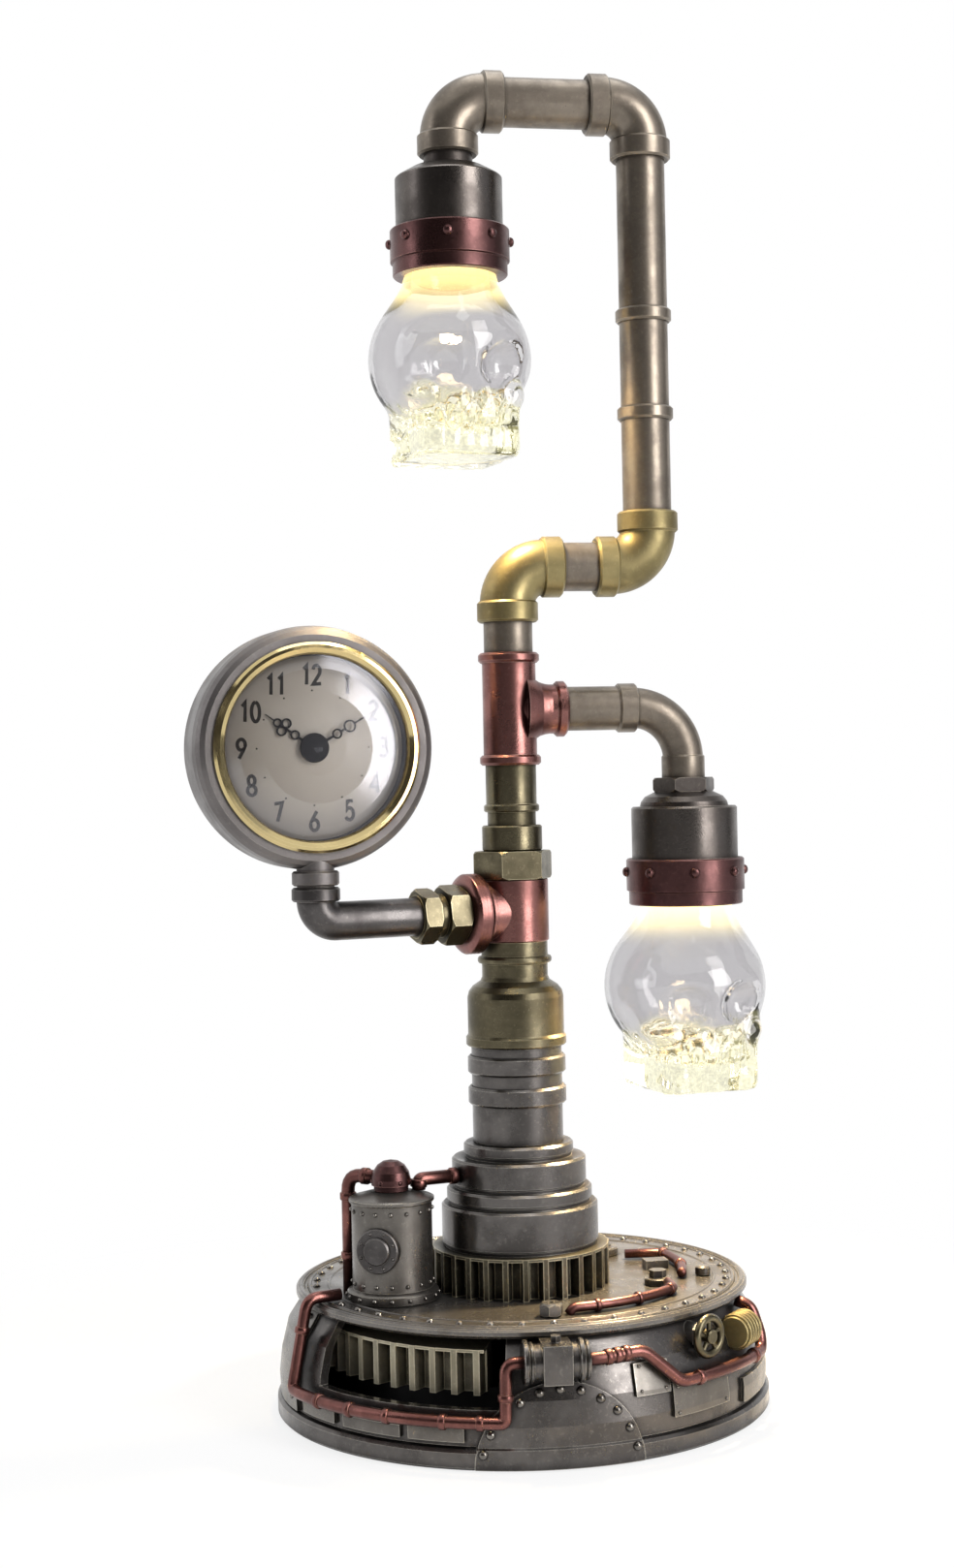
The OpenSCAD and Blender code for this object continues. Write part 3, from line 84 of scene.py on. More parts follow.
class Wire:
    """A node's output socket that takes part in Python expressions."""

    def __init__(self, board: "Board", socket: bpy.types.NodeSocket) -> None:
        """Keeps the board and the socket."""
        self.board = board
        self.socket = socket

    def _math(self, operation: Op, first: Any, second: Any) -> "Wire":
        """Adds a Math node for one operation."""
        return self.board.node("ShaderNodeMath", {"operation": operation.value}, {0: first, 1: second})

    def __add__(self, other: Any) -> "Wire":
        """Sum."""
        return self._math(Op.ADD, self, other)

    __radd__ = __add__

    def __sub__(self, other: Any) -> "Wire":
        """Difference."""
        return self._math(Op.SUBTRACT, self, other)

    def __rsub__(self, other: Any) -> "Wire":
        """Difference with the number first."""
        return self._math(Op.SUBTRACT, other, self)

    def __mul__(self, other: Any) -> "Wire":
        """Product."""
        return self._math(Op.MULTIPLY, self, other)

    __rmul__ = __mul__

    def __pow__(self, other: Any) -> "Wire":
        """Power."""
        return self._math(Op.POWER, self, other)

    def at_least(self, other: Any) -> "Wire":
        """The larger of two values."""
        return self._math(Op.MAXIMUM, self, other)

    def step(self, low: float, high: float) -> "Wire":
        """A smooth step from 0 at low to 1 at high.

        Args:
            low: Value that gives 0.
            high: Value that gives 1.

        Returns:
            The stepped value.
        """
        settings = {"interpolation_type": "SMOOTHSTEP"}
        return self.board.node(
            "ShaderNodeMapRange", settings, {"Value": self, "From Min": low, "From Max": high}, "Result"
        )


class Board:
    """The node tree of one material or world."""

    def __init__(self, tree: bpy.types.NodeTree) -> None:
        """Empties the tree."""
        self.tree = tree
        tree.nodes.clear()

    def _made(
        self, kind: str, settings: dict[str, Any] | None, sockets: dict[Any, Any] | None
    ) -> bpy.types.Node:
        """Adds a node, sets it up, then fills or links its sockets."""
        made = self.tree.nodes.new(kind)
        for name, value in (settings or {}).items():
            setattr(made, name, value)
        for name, value in (sockets or {}).items():
            self._fill(made.inputs[name], value)
        return made

    def node(
        self,
        kind: str,
        settings: dict[str, Any] | None = None,
        sockets: dict[Any, Any] | None = None,
        output: Any = 0,
    ) -> Wire:
        """Adds a node and gives one of its outputs.

        Args:
            kind: Blender's type name of the node.
            settings: Its properties.
            sockets: Values or wires by socket name or number.
            output: Name or number of the output to return.

        Returns:
            The chosen output as a wire.
        """
        return Wire(self, self._made(kind, settings, sockets).outputs[output])

    def _fill(self, socket: bpy.types.NodeSocket, value: Any) -> None:
        """Links a wire to a socket, or sets its value."""
        if isinstance(value, Wire):
            self.tree.links.new(value.socket, socket)
        elif isinstance(value, tuple) and len(value) == 3 and socket.type == "RGBA":
            socket.default_value = (*value, 1.0)
        else:
            socket.default_value = value

    def mix(self, factor: Any, first: Any, second: Any) -> Wire:
        """Mixes two colours.

        Args:
            factor: Share of the second colour.
            first: First colour.
            second: Second colour.

        Returns:
            The mixed colour.
        """
        return self.node("ShaderNodeMix", {"data_type": "RGBA"}, {0: factor, 6: first, 7: second}, 2)

    def place(self) -> Wire:
        """Place on the piece in millimetres."""
        here = self.node("ShaderNodeTexCoord", None, None, "Object")
        return self.node("ShaderNodeVectorMath", {"operation": "SCALE"}, {0: here, "Scale": 1000.0})

    def noise(self, place: Wire, per_mm: float, detail: float = 4.0, rough: float = 0.55) -> Wire:
        """Cloudy noise.

        Args:
            place: Place on the piece in millimetres.
            per_mm: Waves per millimetre.
            detail: Number of octaves.
            rough: Strength of the finer octaves.

        Returns:
            A value round one half.
        """
        sockets = {"Vector": place, "Scale": per_mm, "Detail": detail, "Roughness": rough}
        return self.node("ShaderNodeTexNoise", None, sockets, "Fac")

    def hollow(self, distance: float) -> Wire:
        """1 in crevices and 0 on open faces."""
        settings = {"samples": 6}
        open_share = self.node("ShaderNodeAmbientOcclusion", settings, {"Distance": distance}, "AO")
        return 1.0 - open_share

    def edge(self, radius: float) -> Wire:
        """1 on edges and 0 on flat faces."""
        rounded = self.node("ShaderNodeBevel", {"samples": 6}, {"Radius": radius})
        normal = self.node("ShaderNodeNewGeometry", None, None, "Normal")
        settings = {"operation": "DOT_PRODUCT"}
        along = self.node("ShaderNodeVectorMath", settings, {0: rounded, 1: normal}, "Value")
        return 1.0 - along

    def bump(self, height: Wire, strength: float, distance: float) -> Wire:
        """A bumped normal."""
        sockets = {"Height": height, "Strength": strength, "Distance": distance}
        return self.node("ShaderNodeBump", None, sockets)

    def surface(self, sockets: dict[str, Any]) -> Wire:
        """A Principled shader with these sockets."""
        return self.node("ShaderNodeBsdfPrincipled", None, sockets)

    def finish(self, shader: Wire, kind: str = "ShaderNodeOutputMaterial") -> None:
        """Links a shader to the output."""
        self._made(kind, None, {"Surface": shader})


def new_board(name: str) -> tuple[bpy.types.Material, Board]:
    """A new material with an empty board."""
    material = bpy.data.materials.new(name)
    material.use_nodes = True
    return material, Board(material.node_tree)


@dataclass(frozen=True)
class Metal:
    """A cast metal finish with patina clouds, painted shade in its hollows and worn edges that also carry
    painted highlights.
    """

    name: str
    body: Colour
    # Patina colour of the clouds; also the colour of the painted shade in hollows.
    deep: Colour
    # Colour of the light specks, and of the worn edges, which also carry painted highlights.
    worn: Colour
    rough: float = 0.36
    cloud: float = 0.07
    cloud_share: float = 0.6
    edge_mm: float = 0.5
    edge_gain: float = 6.0
    hollow_mm: float = 5.0
    grain: float = 0.12
    speck_share: float = 0.12
    metallic: float = 1.0

    def material(self) -> bpy.types.Material:
        """Builds the finish.

        Returns:
            The material.
        """
        material, board = new_board(self.name)
        place = board.place()
        clouds = board.noise(place, self.cloud, 5.0, 0.6).step(0.35, 0.68)
        specks = board.noise(place, 0.9, 3.0)
        base = board.mix(clouds * self.cloud_share, self.body, self.deep)
        tint = board.mix(specks.step(0.55, 0.75) * self.speck_share, base, self.worn)
        # Painted shade: ambient occlusion darkens hollows and crevices towards the patina colour, where shade
        # falls; the same mask also roughens them.
        occluded_shade = (board.hollow(self.hollow_mm * MM) * 2.2).step(0.25, 0.95)
        shade_darkened = board.mix(occluded_shade * 0.85, tint, self.deep)
        # Worn edges lightened by the bevel mask: partly real wear, partly painted highlights along the edges.
        edge_scuff_glint = (board.edge(self.edge_mm * MM) * self.edge_gain).step(0.08, 0.8)
        scuffed_and_glinting = board.mix(edge_scuff_glint * (0.35 + specks * 0.6), shade_darkened, self.worn)
        fine = board.noise(place, 2.2, 3.0)
        roughness = self.rough + (clouds - 0.4) * 0.14 + (fine - 0.5) * 0.12 + occluded_shade * 0.2
        normal = board.bump(fine * 0.6 + specks * 0.4, self.grain, 0.0004)
        shader = board.surface(
            {"Base Color": scuffed_and_glinting, "Metallic": self.metallic, "Roughness": roughness, "Normal": normal}
        )
        board.finish(shader)
        return material


@dataclass(frozen=True)
class SheenGlass:
    """Thin clear glass that shows only a soft sheen."""

    name: str
    tint: Colour
    rough: float = 0.16
    gain: float = 1.6
    most: float = 0.35

    def material(self) -> bpy.types.Material:
        """Builds the glass.

        Returns:
            The material.
        """
        material, board = new_board(self.name)
        share = board.node("ShaderNodeFresnel", None, {"IOR": GLASS_IOR}, "Fac") * self.gain
        limited = 1.0 - (1.0 - share).at_least(1.0 - self.most)
        sockets = {"Base Color": self.tint, "Metallic": 1.0, "Roughness": self.rough, "Alpha": limited}
        board.finish(board.surface(sockets))
        return material


@dataclass(frozen=True)
class LitGlass:
    """Glass with painted shade towards its outline and painted glows of light in its foot and in its neck."""

    name: str
    foot_z: float
    neck_z: float
    tint: Colour = (0.725, 0.715, 0.725)
    # Painted shade: darker colour towards the glass's outline.
    rim: Colour = (0.38, 0.37, 0.39)
    rim_start: float = 0.5
    # Painted glow: emission colour and warm tints make the foot look lit, with mottle and sparkles.
    foot: Colour = (0.17, 0.16, 0.08)
    foot_span: tuple[float, float] = (8.0, 22.0)
    foot_tint: Colour = (0.90, 0.89, 0.70)
    foot_dark: Colour = (0.48, 0.46, 0.37)
    # Painted glow: emission colour and a warm tint make the neck look lit.
    neck: Colour = (0.42, 0.34, 0.15)
    neck_span: tuple[float, float] = (-14.0, 3.0)
    neck_tint: Colour = (1.0, 0.93, 0.72)

    def colour(self, board: Board) -> Wire:
        """The glass's colour, with painted shade where it is seen at a slant."""
        slant = board.node("ShaderNodeLayerWeight", None, {"Blend": 0.5}, "Facing")
        return board.mix(slant.step(self.rim_start, 1.0), self.tint, self.rim)

    def material(self) -> bpy.types.Material:
        """Builds the glass.

        Returns:
            The material.
        """
        material, board = new_board(self.name)
        place = board.place()
        height = board.node("ShaderNodeSeparateXYZ", None, {0: place}, "Z")
        foot_low, foot_high = self.foot_span
        neck_low, neck_high = self.neck_span
        # Painted glow in the foot: emission and a warm base colour, with swirls and painted sparkles.
        low = 1.0 - height.step(self.foot_z + foot_low, self.foot_z + foot_high)
        glow_swirl = board.noise(place, 0.22, 3.0, 0.6).step(0.36, 0.62)
        glow_sparkles = board.noise(place, 0.75, 3.0, 0.65).step(0.40, 0.64)
        share = low * (0.15 + glow_swirl * 0.45 + glow_sparkles * 0.40)
        painted_foot_glow = board.mix(share, (0.0, 0.0, 0.0), self.foot)
        # Painted glow in the neck: warm base colour and emission towards its top.
        top = height.step(self.neck_z + neck_low, self.neck_z + neck_high) ** 2.0
        glow_warmed = board.mix(low * 0.85, self.colour(board), self.foot_tint)
        glow_mottled = board.mix(low * (1.0 - glow_sparkles) * 0.5, glow_warmed, self.foot_dark)
        sockets = {
            "Base Color": board.mix(top, glow_mottled, self.neck_tint),
            "Roughness": 0.0,
            "IOR": GLASS_IOR,
            "Transmission Weight": 1.0,
            "Emission Color": board.mix(top, painted_foot_glow, self.neck),
            "Emission Strength": 1.0,
        }
        board.finish(board.surface(sockets))
        return material


@dataclass(frozen=True)
class Paint:
    """A dull or glossy finish with a little variation, for felt, card, black parts and light boards."""

    name: str
    body: Colour
    second: Colour
    rough: float = 0.6
    cloud: float = 0.3
    grain: float = 0.15
    glow: Colour = (0.0, 0.0, 0.0)
    glow_strength: float = 0.0
    shine: float = 0.5

    def material(self) -> bpy.types.Material:
        """Builds the finish.

        Returns:
            The material.
        """
        material, board = new_board(self.name)
        place = board.place()
        clouds = board.noise(place, self.cloud, 4.0)
        fine = board.noise(place, 3.0, 2.0)
        sockets: dict[str, Any] = {
            "Base Color": board.mix(clouds, self.body, self.second),
            "Roughness": self.rough + (fine - 0.5) * 0.1,
            "Normal": board.bump(fine, self.grain, 0.0002),
            "Specular IOR Level": self.shine,
        }
        if self.glow_strength > 0.0:
            sockets["Emission Color"] = self.glow
            sockets["Emission Strength"] = self.glow_strength
        board.finish(board.surface(sockets))
        return material


class Finishes:
    """All finishes of the lamp, built once each."""

    METALS: tuple[Metal, ...] = (
        Metal(
            "pewter", (0.125, 0.116, 0.110), (0.024, 0.022, 0.022), (0.56, 0.53, 0.47), 0.23,
            cloud_share=0.45, grain=0.05, metallic=0.95,
        ),
        Metal(
            "deck_pewter", (0.165, 0.155, 0.147), (0.024, 0.022, 0.020), (0.60, 0.54, 0.42), 0.27,
            cloud_share=0.5, grain=0.06, metallic=0.8,
        ),
        Metal(
            "plate_grey", (0.165, 0.153, 0.139), (0.034, 0.031, 0.028), (0.54, 0.51, 0.44), 0.30,
            cloud_share=0.35, grain=0.06, metallic=0.9,
        ),
        Metal(
            "rivet_steel", (0.25, 0.233, 0.212), (0.05, 0.046, 0.042), (0.62, 0.58, 0.50), 0.22,
            hollow_mm=0.8, grain=0.03,
        ),
        Metal("gunmetal", (0.105, 0.098, 0.096), (0.032, 0.029, 0.029), (0.34, 0.32, 0.30), 0.33),
        Metal(
            "pipe_bronze", (0.22, 0.188, 0.152), (0.065, 0.054, 0.044), (0.50, 0.44, 0.34), 0.35,
            metallic=0.85,
        ),
        Metal("olive_bronze", (0.150, 0.130, 0.082), (0.034, 0.029, 0.018), (0.52, 0.46, 0.30), 0.31),
        Metal(
            "antique_gold", (0.28, 0.228, 0.106), (0.09, 0.072, 0.033), (0.60, 0.50, 0.26), 0.38,
            metallic=0.85,
        ),
        Metal("rosy_copper", (0.26, 0.118, 0.105), (0.065, 0.029, 0.028), (0.58, 0.36, 0.31), 0.30),
        Metal("pipe_copper", (0.21, 0.090, 0.078), (0.050, 0.023, 0.022), (0.52, 0.29, 0.22), 0.31),
        Metal("red_copper", (0.120, 0.058, 0.056), (0.035, 0.018, 0.018), (0.34, 0.18, 0.16), 0.32),
        Metal(
            "gear_bronze", (0.105, 0.095, 0.068), (0.008, 0.007, 0.006), (0.72, 0.65, 0.46), 0.36,
            cloud_share=0.3, edge_mm=0.8, hollow_mm=4.0, metallic=0.85,
        ),
        # Painted light: a brighter copy of the gear bronze for the ring gear in the window, made brighter to
        # offset the shade there.
        Metal(
            "shade_lifted_bronze", (0.33, 0.301, 0.223), (0.020, 0.018, 0.014), (0.85, 0.78, 0.58), 0.36,
            cloud_share=0.3, edge_mm=0.8, hollow_mm=4.0, metallic=0.7,
        ),
        Metal(
            "case_taupe", (0.165, 0.153, 0.150), (0.08, 0.072, 0.070), (0.44, 0.41, 0.37), 0.40,
            cloud_share=0.3, metallic=0.9,
        ),
        Metal("cup_brown", (0.115, 0.102, 0.094), (0.040, 0.034, 0.031), (0.36, 0.32, 0.27), 0.31),
        Metal(
            "polished_gold", (0.62, 0.50, 0.25), (0.33, 0.25, 0.11), (0.85, 0.73, 0.44), 0.14,
            cloud_share=0.15, grain=0.03,
        ),
        Metal("zinc", (0.45, 0.44, 0.42), (0.2, 0.19, 0.18), (0.7, 0.69, 0.66), 0.38),
    )
    OTHERS: tuple[Any, ...] = (
        Paint("felt", (0.012, 0.012, 0.013), (0.03, 0.03, 0.031), 0.95, 0.8, 0.6),
        Paint("black_steel", (0.01, 0.01, 0.011), (0.022, 0.021, 0.02), 0.45, 0.2, 0.1),
        Paint("black_lacquer", (0.006, 0.006, 0.008), (0.010, 0.010, 0.012), 0.25, 0.4, 0.03, shine=0.12),
        Paint("dial_card", (0.315, 0.284, 0.245), (0.36, 0.325, 0.28), 0.55, 0.12, 0.05),
        Paint("ink", (0.010, 0.008, 0.007), (0.016, 0.014, 0.012), 0.5, 0.5, 0.02, shine=0.1),
        Paint("light_board", (0.9, 0.8, 0.55), (0.9, 0.82, 0.6), 0.5, 0.2, 0.02, (1.0, 0.78, 0.42), 9.0),
        SheenGlass("lens_glass", (0.93, 0.93, 1.0)),
    )

    def __init__(self) -> None:
        """Builds every finish."""
        self.made = {f.name: f.material() for f in (*self.METALS, *self.OTHERS)}

    def __getitem__(self, name: str) -> bpy.types.Material:
        """A finish by name."""
        return self.made[name]

    def add(self, finish: Any) -> bpy.types.Material:
        """Builds one more finish."""
        self.made[finish.name] = finish.material()
        return self.made[finish.name]


def mesh_piece(
    name: str, points: Any, faces: Iterable[Sequence[int]], material: bpy.types.Material, smooth: bool = True
) -> bpy.types.Object:
    """Makes a mesh object from points in millimetres.

    Args:
        name: Name of the piece.
        points: Points in millimetres.
        faces: Faces as lists of point numbers.
        material: Finish of the piece.
        smooth: Whether its faces shade smoothly.

    Returns:
        The new object.
    """
    mesh = bpy.data.meshes.new(name)
    mesh.from_pydata([tuple(float(c) * MM for c in p) for p in points], [], [tuple(f) for f in faces])
    mesh.validate()
    mesh.update()
    if smooth:
        for polygon in mesh.polygons:
            polygon.use_smooth = True
    mesh.materials.append(material)
    piece = bpy.data.objects.new(name, mesh)
    bpy.context.scene.collection.objects.link(piece)
    return piece


def settle(piece: bpy.types.Object, body: str) -> bpy.types.Object:
    """Lets a piece ride on a body, and reports it."""
    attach(piece, body)
    LOG.info("piece %s rides on %s", piece.name, body)
    return piece


class Shape:
    """A growing set of points and faces in millimetres."""

    def __init__(self) -> None:
        """Starts empty."""
        self.points: list[Point] = []
        self.faces: list[tuple[int, ...]] = []

    def grid(self, rows: Sequence[Sequence[Point]], closed: bool = True) -> None:
        """Joins rows of points with quads.

        Args:
            rows: Rows of points, all of one length.
            closed: Whether each row closes on itself.
        """
        start, width = len(self.points), len(rows[0])
        for row in rows:
            self.points.extend(tuple(p) for p in row)
        span = width if closed else width - 1
        for i in range(len(rows) - 1):
            for j in range(span):
                a, b = start + i * width + j, start + i * width + (j + 1) % width
                self.faces.append((a, b, b + width, a + width))

    def lathe(self, profile: Sequence[tuple[float, float]], frame: Matrix, around: int = 24) -> None:
        """Turns a profile of radius and height about a frame's Z.

        Args:
            profile: Pairs of radius and height; a zero radius at an end closes it.
            frame: Where the shape stands.
            around: Points round the axis.
        """
        rows, caps = [], []
        for k, (r, z) in enumerate(profile):
            if r <= 1e-6:
                caps.append((k, frame @ Vector((0, 0, z))))
                continue
            turn = [2 * math.pi * j / around for j in range(around)]
            rows.append([tuple(frame @ Vector((r * math.cos(t), r * math.sin(t), z))) for t in turn])
        start = len(self.points)
        self.grid(rows)
        last = start + (len(rows) - 1) * around
        for k, tip in caps:
            centre = len(self.points)
            self.points.append(tuple(tip))
            ring = start if k == 0 else last
            for j in range(around):
                pair = (ring + j, ring + (j + 1) % around)
                self.faces.append((centre, *(reversed(pair) if k == 0 else pair)))

    def dome(self, frame: Matrix, r: float, h: float, around: int = 14) -> None:
        """Adds a rivet head that stands on a frame's XY plane."""
        steps = [(r * math.cos(a), h * math.sin(a)) for a in (0.0, 0.45, 0.9, 1.3)]
        self.lathe([(r, -0.05), *steps, (0.0, h)], frame, around)

    def sweep(self, line: Sequence[Vector], r: float, around: int = 16) -> None:
        """Sweeps a round bar along a line.

        Args:
            line: Points along its middle.
            r: Its radius.
            around: Points round it.
        """
        rows, side = [], None
        turns = [2 * math.pi * j / around for j in range(around)]
        for i, p in enumerate(line):
            along = (line[min(i + 1, len(line) - 1)] - line[max(i - 1, 0)]).normalized()
            side = along.orthogonal() if side is None else side
            side = (side - along * side.dot(along)).normalized()
            other = along.cross(side)
            rows.append([tuple(p + side * (r * math.cos(t)) + other * (r * math.sin(t))) for t in turns])
        start = len(self.points)
        self.grid(rows)
        last = start + (len(rows) - 1) * around
        self.faces.append(tuple(start + j for j in reversed(range(around))))
        self.faces.append(tuple(last + j for j in range(around)))

    def piece(self, name: str, material: bpy.types.Material) -> bpy.types.Object:
        """Makes the object."""
        return mesh_piece(name, self.points, self.faces, material)


def rounded(points: Sequence[Vector], bend: float, steps: int = 6) -> list[Vector]:
    """Rounds the corners of a line.

    Args:
        points: Corners and ends of the line.
        bend: How far from a corner its bend starts.
        steps: Steps along a bend.

    Returns:
        The points of the rounded line.
    """
    line = [points[0]]
    for before, corner, after in zip(points, points[1:], points[2:]):
        reach = min(bend, (corner - before).length * 0.48, (after - corner).length * 0.48)
        start = corner + (before - corner).normalized() * reach
        end = corner + (after - corner).normalized() * reach
        for k in range(steps + 1):
            t = k / steps
            line.append(start * (1 - t) ** 2 + corner * (2 * t * (1 - t)) + end * t**2)
    line.append(points[-1])
    return line


def round_axis(angle: float, r: float, z: float) -> Vector:
    """A point round the base's axis, by degrees to the right of the front."""
    a = math.radians(angle)
    return Vector((r * math.sin(a), -r * math.cos(a), z))


def facing(origin: Point, out: Point, up: Point = (0.0, 0.0, 1.0)) -> Matrix:
    """A frame whose Z points out and whose Y points up as far as it can.

    Args:
        origin: Its origin in millimetres.
        out: Direction of Z.
        up: Rough direction of Y.

    Returns:
        The frame as a matrix.
    """
    z = Vector(out).normalized()
    guide = Vector(up) if abs(z.dot(Vector(up))) < 0.99 else Vector((0.0, 1.0, 0.0))
    x = guide.cross(z).normalized()
    y = z.cross(x)
    frame = Matrix((x, y, z)).transposed().to_4x4()
    frame.translation = Vector(origin)
    return frame


@dataclass
class BaseDress:
    """Rivets on the base, the deck and the tank, and beads on the deck."""

    finishes: Finishes
    deck_z: float = 43.0
    deck_rivet_r: float = 71.0
    deck_rivets: int = 44
    deck_head: tuple[float, float] = (1.25, 1.1)
    arch_at: float = 8.0
    arch_line: float = 24.4
    arch_rivets: int = 11
    arch_covered: int = 2
    arch_out: float = 1.65
    arch_head: tuple[float, float] = (1.55, 1.35)
    tank: tuple[float, float] = (-43.0, -29.0)
    tank_r: float = 13.5
    tank_flange_r: float = 15.3
    tank_rows: tuple[float, float, float] = (73.1, 49.1, 44.8)
    tank_around: int = 16
    tank_head: tuple[float, float] = (0.75, 0.7)
    tank_way: float = 148.0
    plate_at: float = -67.0
    plate_out: float = 1.25
    plate_rows: tuple[float, ...] = (12.0, 17.0, 22.0, 27.0, 32.0, 37.0)
    plate_head: tuple[float, float] = (1.0, 0.9)
    corner_plates: tuple[tuple[float, float, float, float], ...] = (
        (25.4, 34.3, 20.5, 30.5), (34.9, 53.0, 12.0, 22.5),
    )
    corner_in: float = 1.3
    corner_head: tuple[float, float] = (0.6, 0.5)
    deck_beads: tuple[tuple[float, float], ...] = ((76.3, 0.6), (73.2, 0.5), (66.8, 0.5))
    bead_crest: tuple[tuple[float, float], ...] = ((0.7, 0.5), (0.0, 0.7), (-0.7, 0.5))
    bead_sunk: float = 0.1
    wall: tuple[tuple[float, float], ...] = (
        (7.6, 82.6), (14.0, 82.9), (22.0, 82.0), (31.0, 79.8), (36.5, 76.2), (40.0, 74.0),
    )

    def wall_r(self, z: float) -> float:
        """Radius of the wall at a height."""
        heights, radii = zip(*self.wall)
        return float(np.interp(z, heights, radii))

    def wall_frame(self, angle: float, z: float, out: float) -> Matrix:
        """A frame on the wall whose Z is the wall's normal.

        Args:
            angle: Degrees to the right of the front.
            z: Height.
            out: Distance from the wall.

        Returns:
            The frame.
        """
        a = math.radians(angle)
        slope = (self.wall_r(z + 0.5) - self.wall_r(z - 0.5)) if z > self.wall[0][0] else 0.0
        tilt = 1.0 / math.hypot(1.0, slope)
        normal = (math.sin(a) * tilt, -math.cos(a) * tilt, -slope * tilt)
        r = self.wall_r(z)
        foot = Vector((r * math.sin(a), -r * math.cos(a), z)) + Vector(normal) * out
        return facing(tuple(foot), normal)

    def _deck_heads(self, heads: Shape) -> None:
        """Adds the ring of rivets on the deck."""
        for i in range(self.deck_rivets):
            a = 2 * math.pi * i / self.deck_rivets
            spot = (self.deck_rivet_r * math.sin(a), -self.deck_rivet_r * math.cos(a), self.deck_z)
            heads.dome(facing(spot, (0, 0, 1)), *self.deck_head)

    def _arch_heads(self, heads: Shape) -> None:
        """Adds the rivets along the arch plate, but for the one that the window pipe covers."""
        for i in range(self.arch_rivets):
            if i == self.arch_covered:
                continue
            a = math.radians(12 + i * 156 / (self.arch_rivets - 1))
            side = math.degrees(math.asin(self.arch_line * math.cos(a) / self.wall[0][1]))
            z = 0.6 + self.arch_line * math.sin(a)
            out = self.arch_out + (0.6 if z < 7 else 0.0)
            heads.dome(self.wall_frame(self.arch_at - side, z, out), *self.arch_head)

    def _tank_heads(self, heads: Shape) -> None:
        """Adds the rows of rivets round the tank."""
        for i in range(self.tank_around):
            a = math.radians(self.tank_way + (i + 0.5) * 360.0 / self.tank_around)
            way = (math.cos(a), math.sin(a), 0.0)
            for row, z in enumerate(self.tank_rows):
                r = self.tank_flange_r if row == 2 else self.tank_r
                spot = (self.tank[0] + r * way[0], self.tank[1] + r * way[1], z)
                heads.dome(facing(spot, way), *self.tank_head, 10)

    def _plate_heads(self, heads: Shape) -> None:
        """Adds the rivets of the wall plates."""
        for z in self.plate_rows:
            heads.dome(self.wall_frame(self.plate_at, z, self.plate_out), *self.plate_head)
        for start, end, low, high in self.corner_plates:
            for angle in (start + self.corner_in, end - self.corner_in):
                for z in (low + self.corner_in, high - self.corner_in):
                    heads.dome(self.wall_frame(angle, z, self.plate_out), *self.corner_head, 10)

    def rivets(self) -> None:
        """Makes the rivets in place of the plain ones."""
        heads = Shape()
        self._deck_heads(heads)
        self._arch_heads(heads)
        self._tank_heads(heads)
        self._plate_heads(heads)
        piece = heads.piece("rivet_heads", self.finishes["rivet_steel"])
        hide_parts("rivets")
        settle(piece, "base")

    def beads(self) -> None:
        """Makes the beads on the deck."""
        beads = Shape()
        for r, w in self.deck_beads:
            crest = [(r + out * w, up * w) for out, up in self.bead_crest]
            profile = [(r + w, -self.bead_sunk), *crest, (r - w, -self.bead_sunk)]
            beads.lathe(profile, Matrix.Translation((0.0, 0.0, self.deck_z)), 120)
        settle(beads.piece("deck_beads", self.finishes["deck_pewter"]), "base")

    def build(self) -> None:
        """Makes the rivets and the beads."""
        self.rivets()
        self.beads()


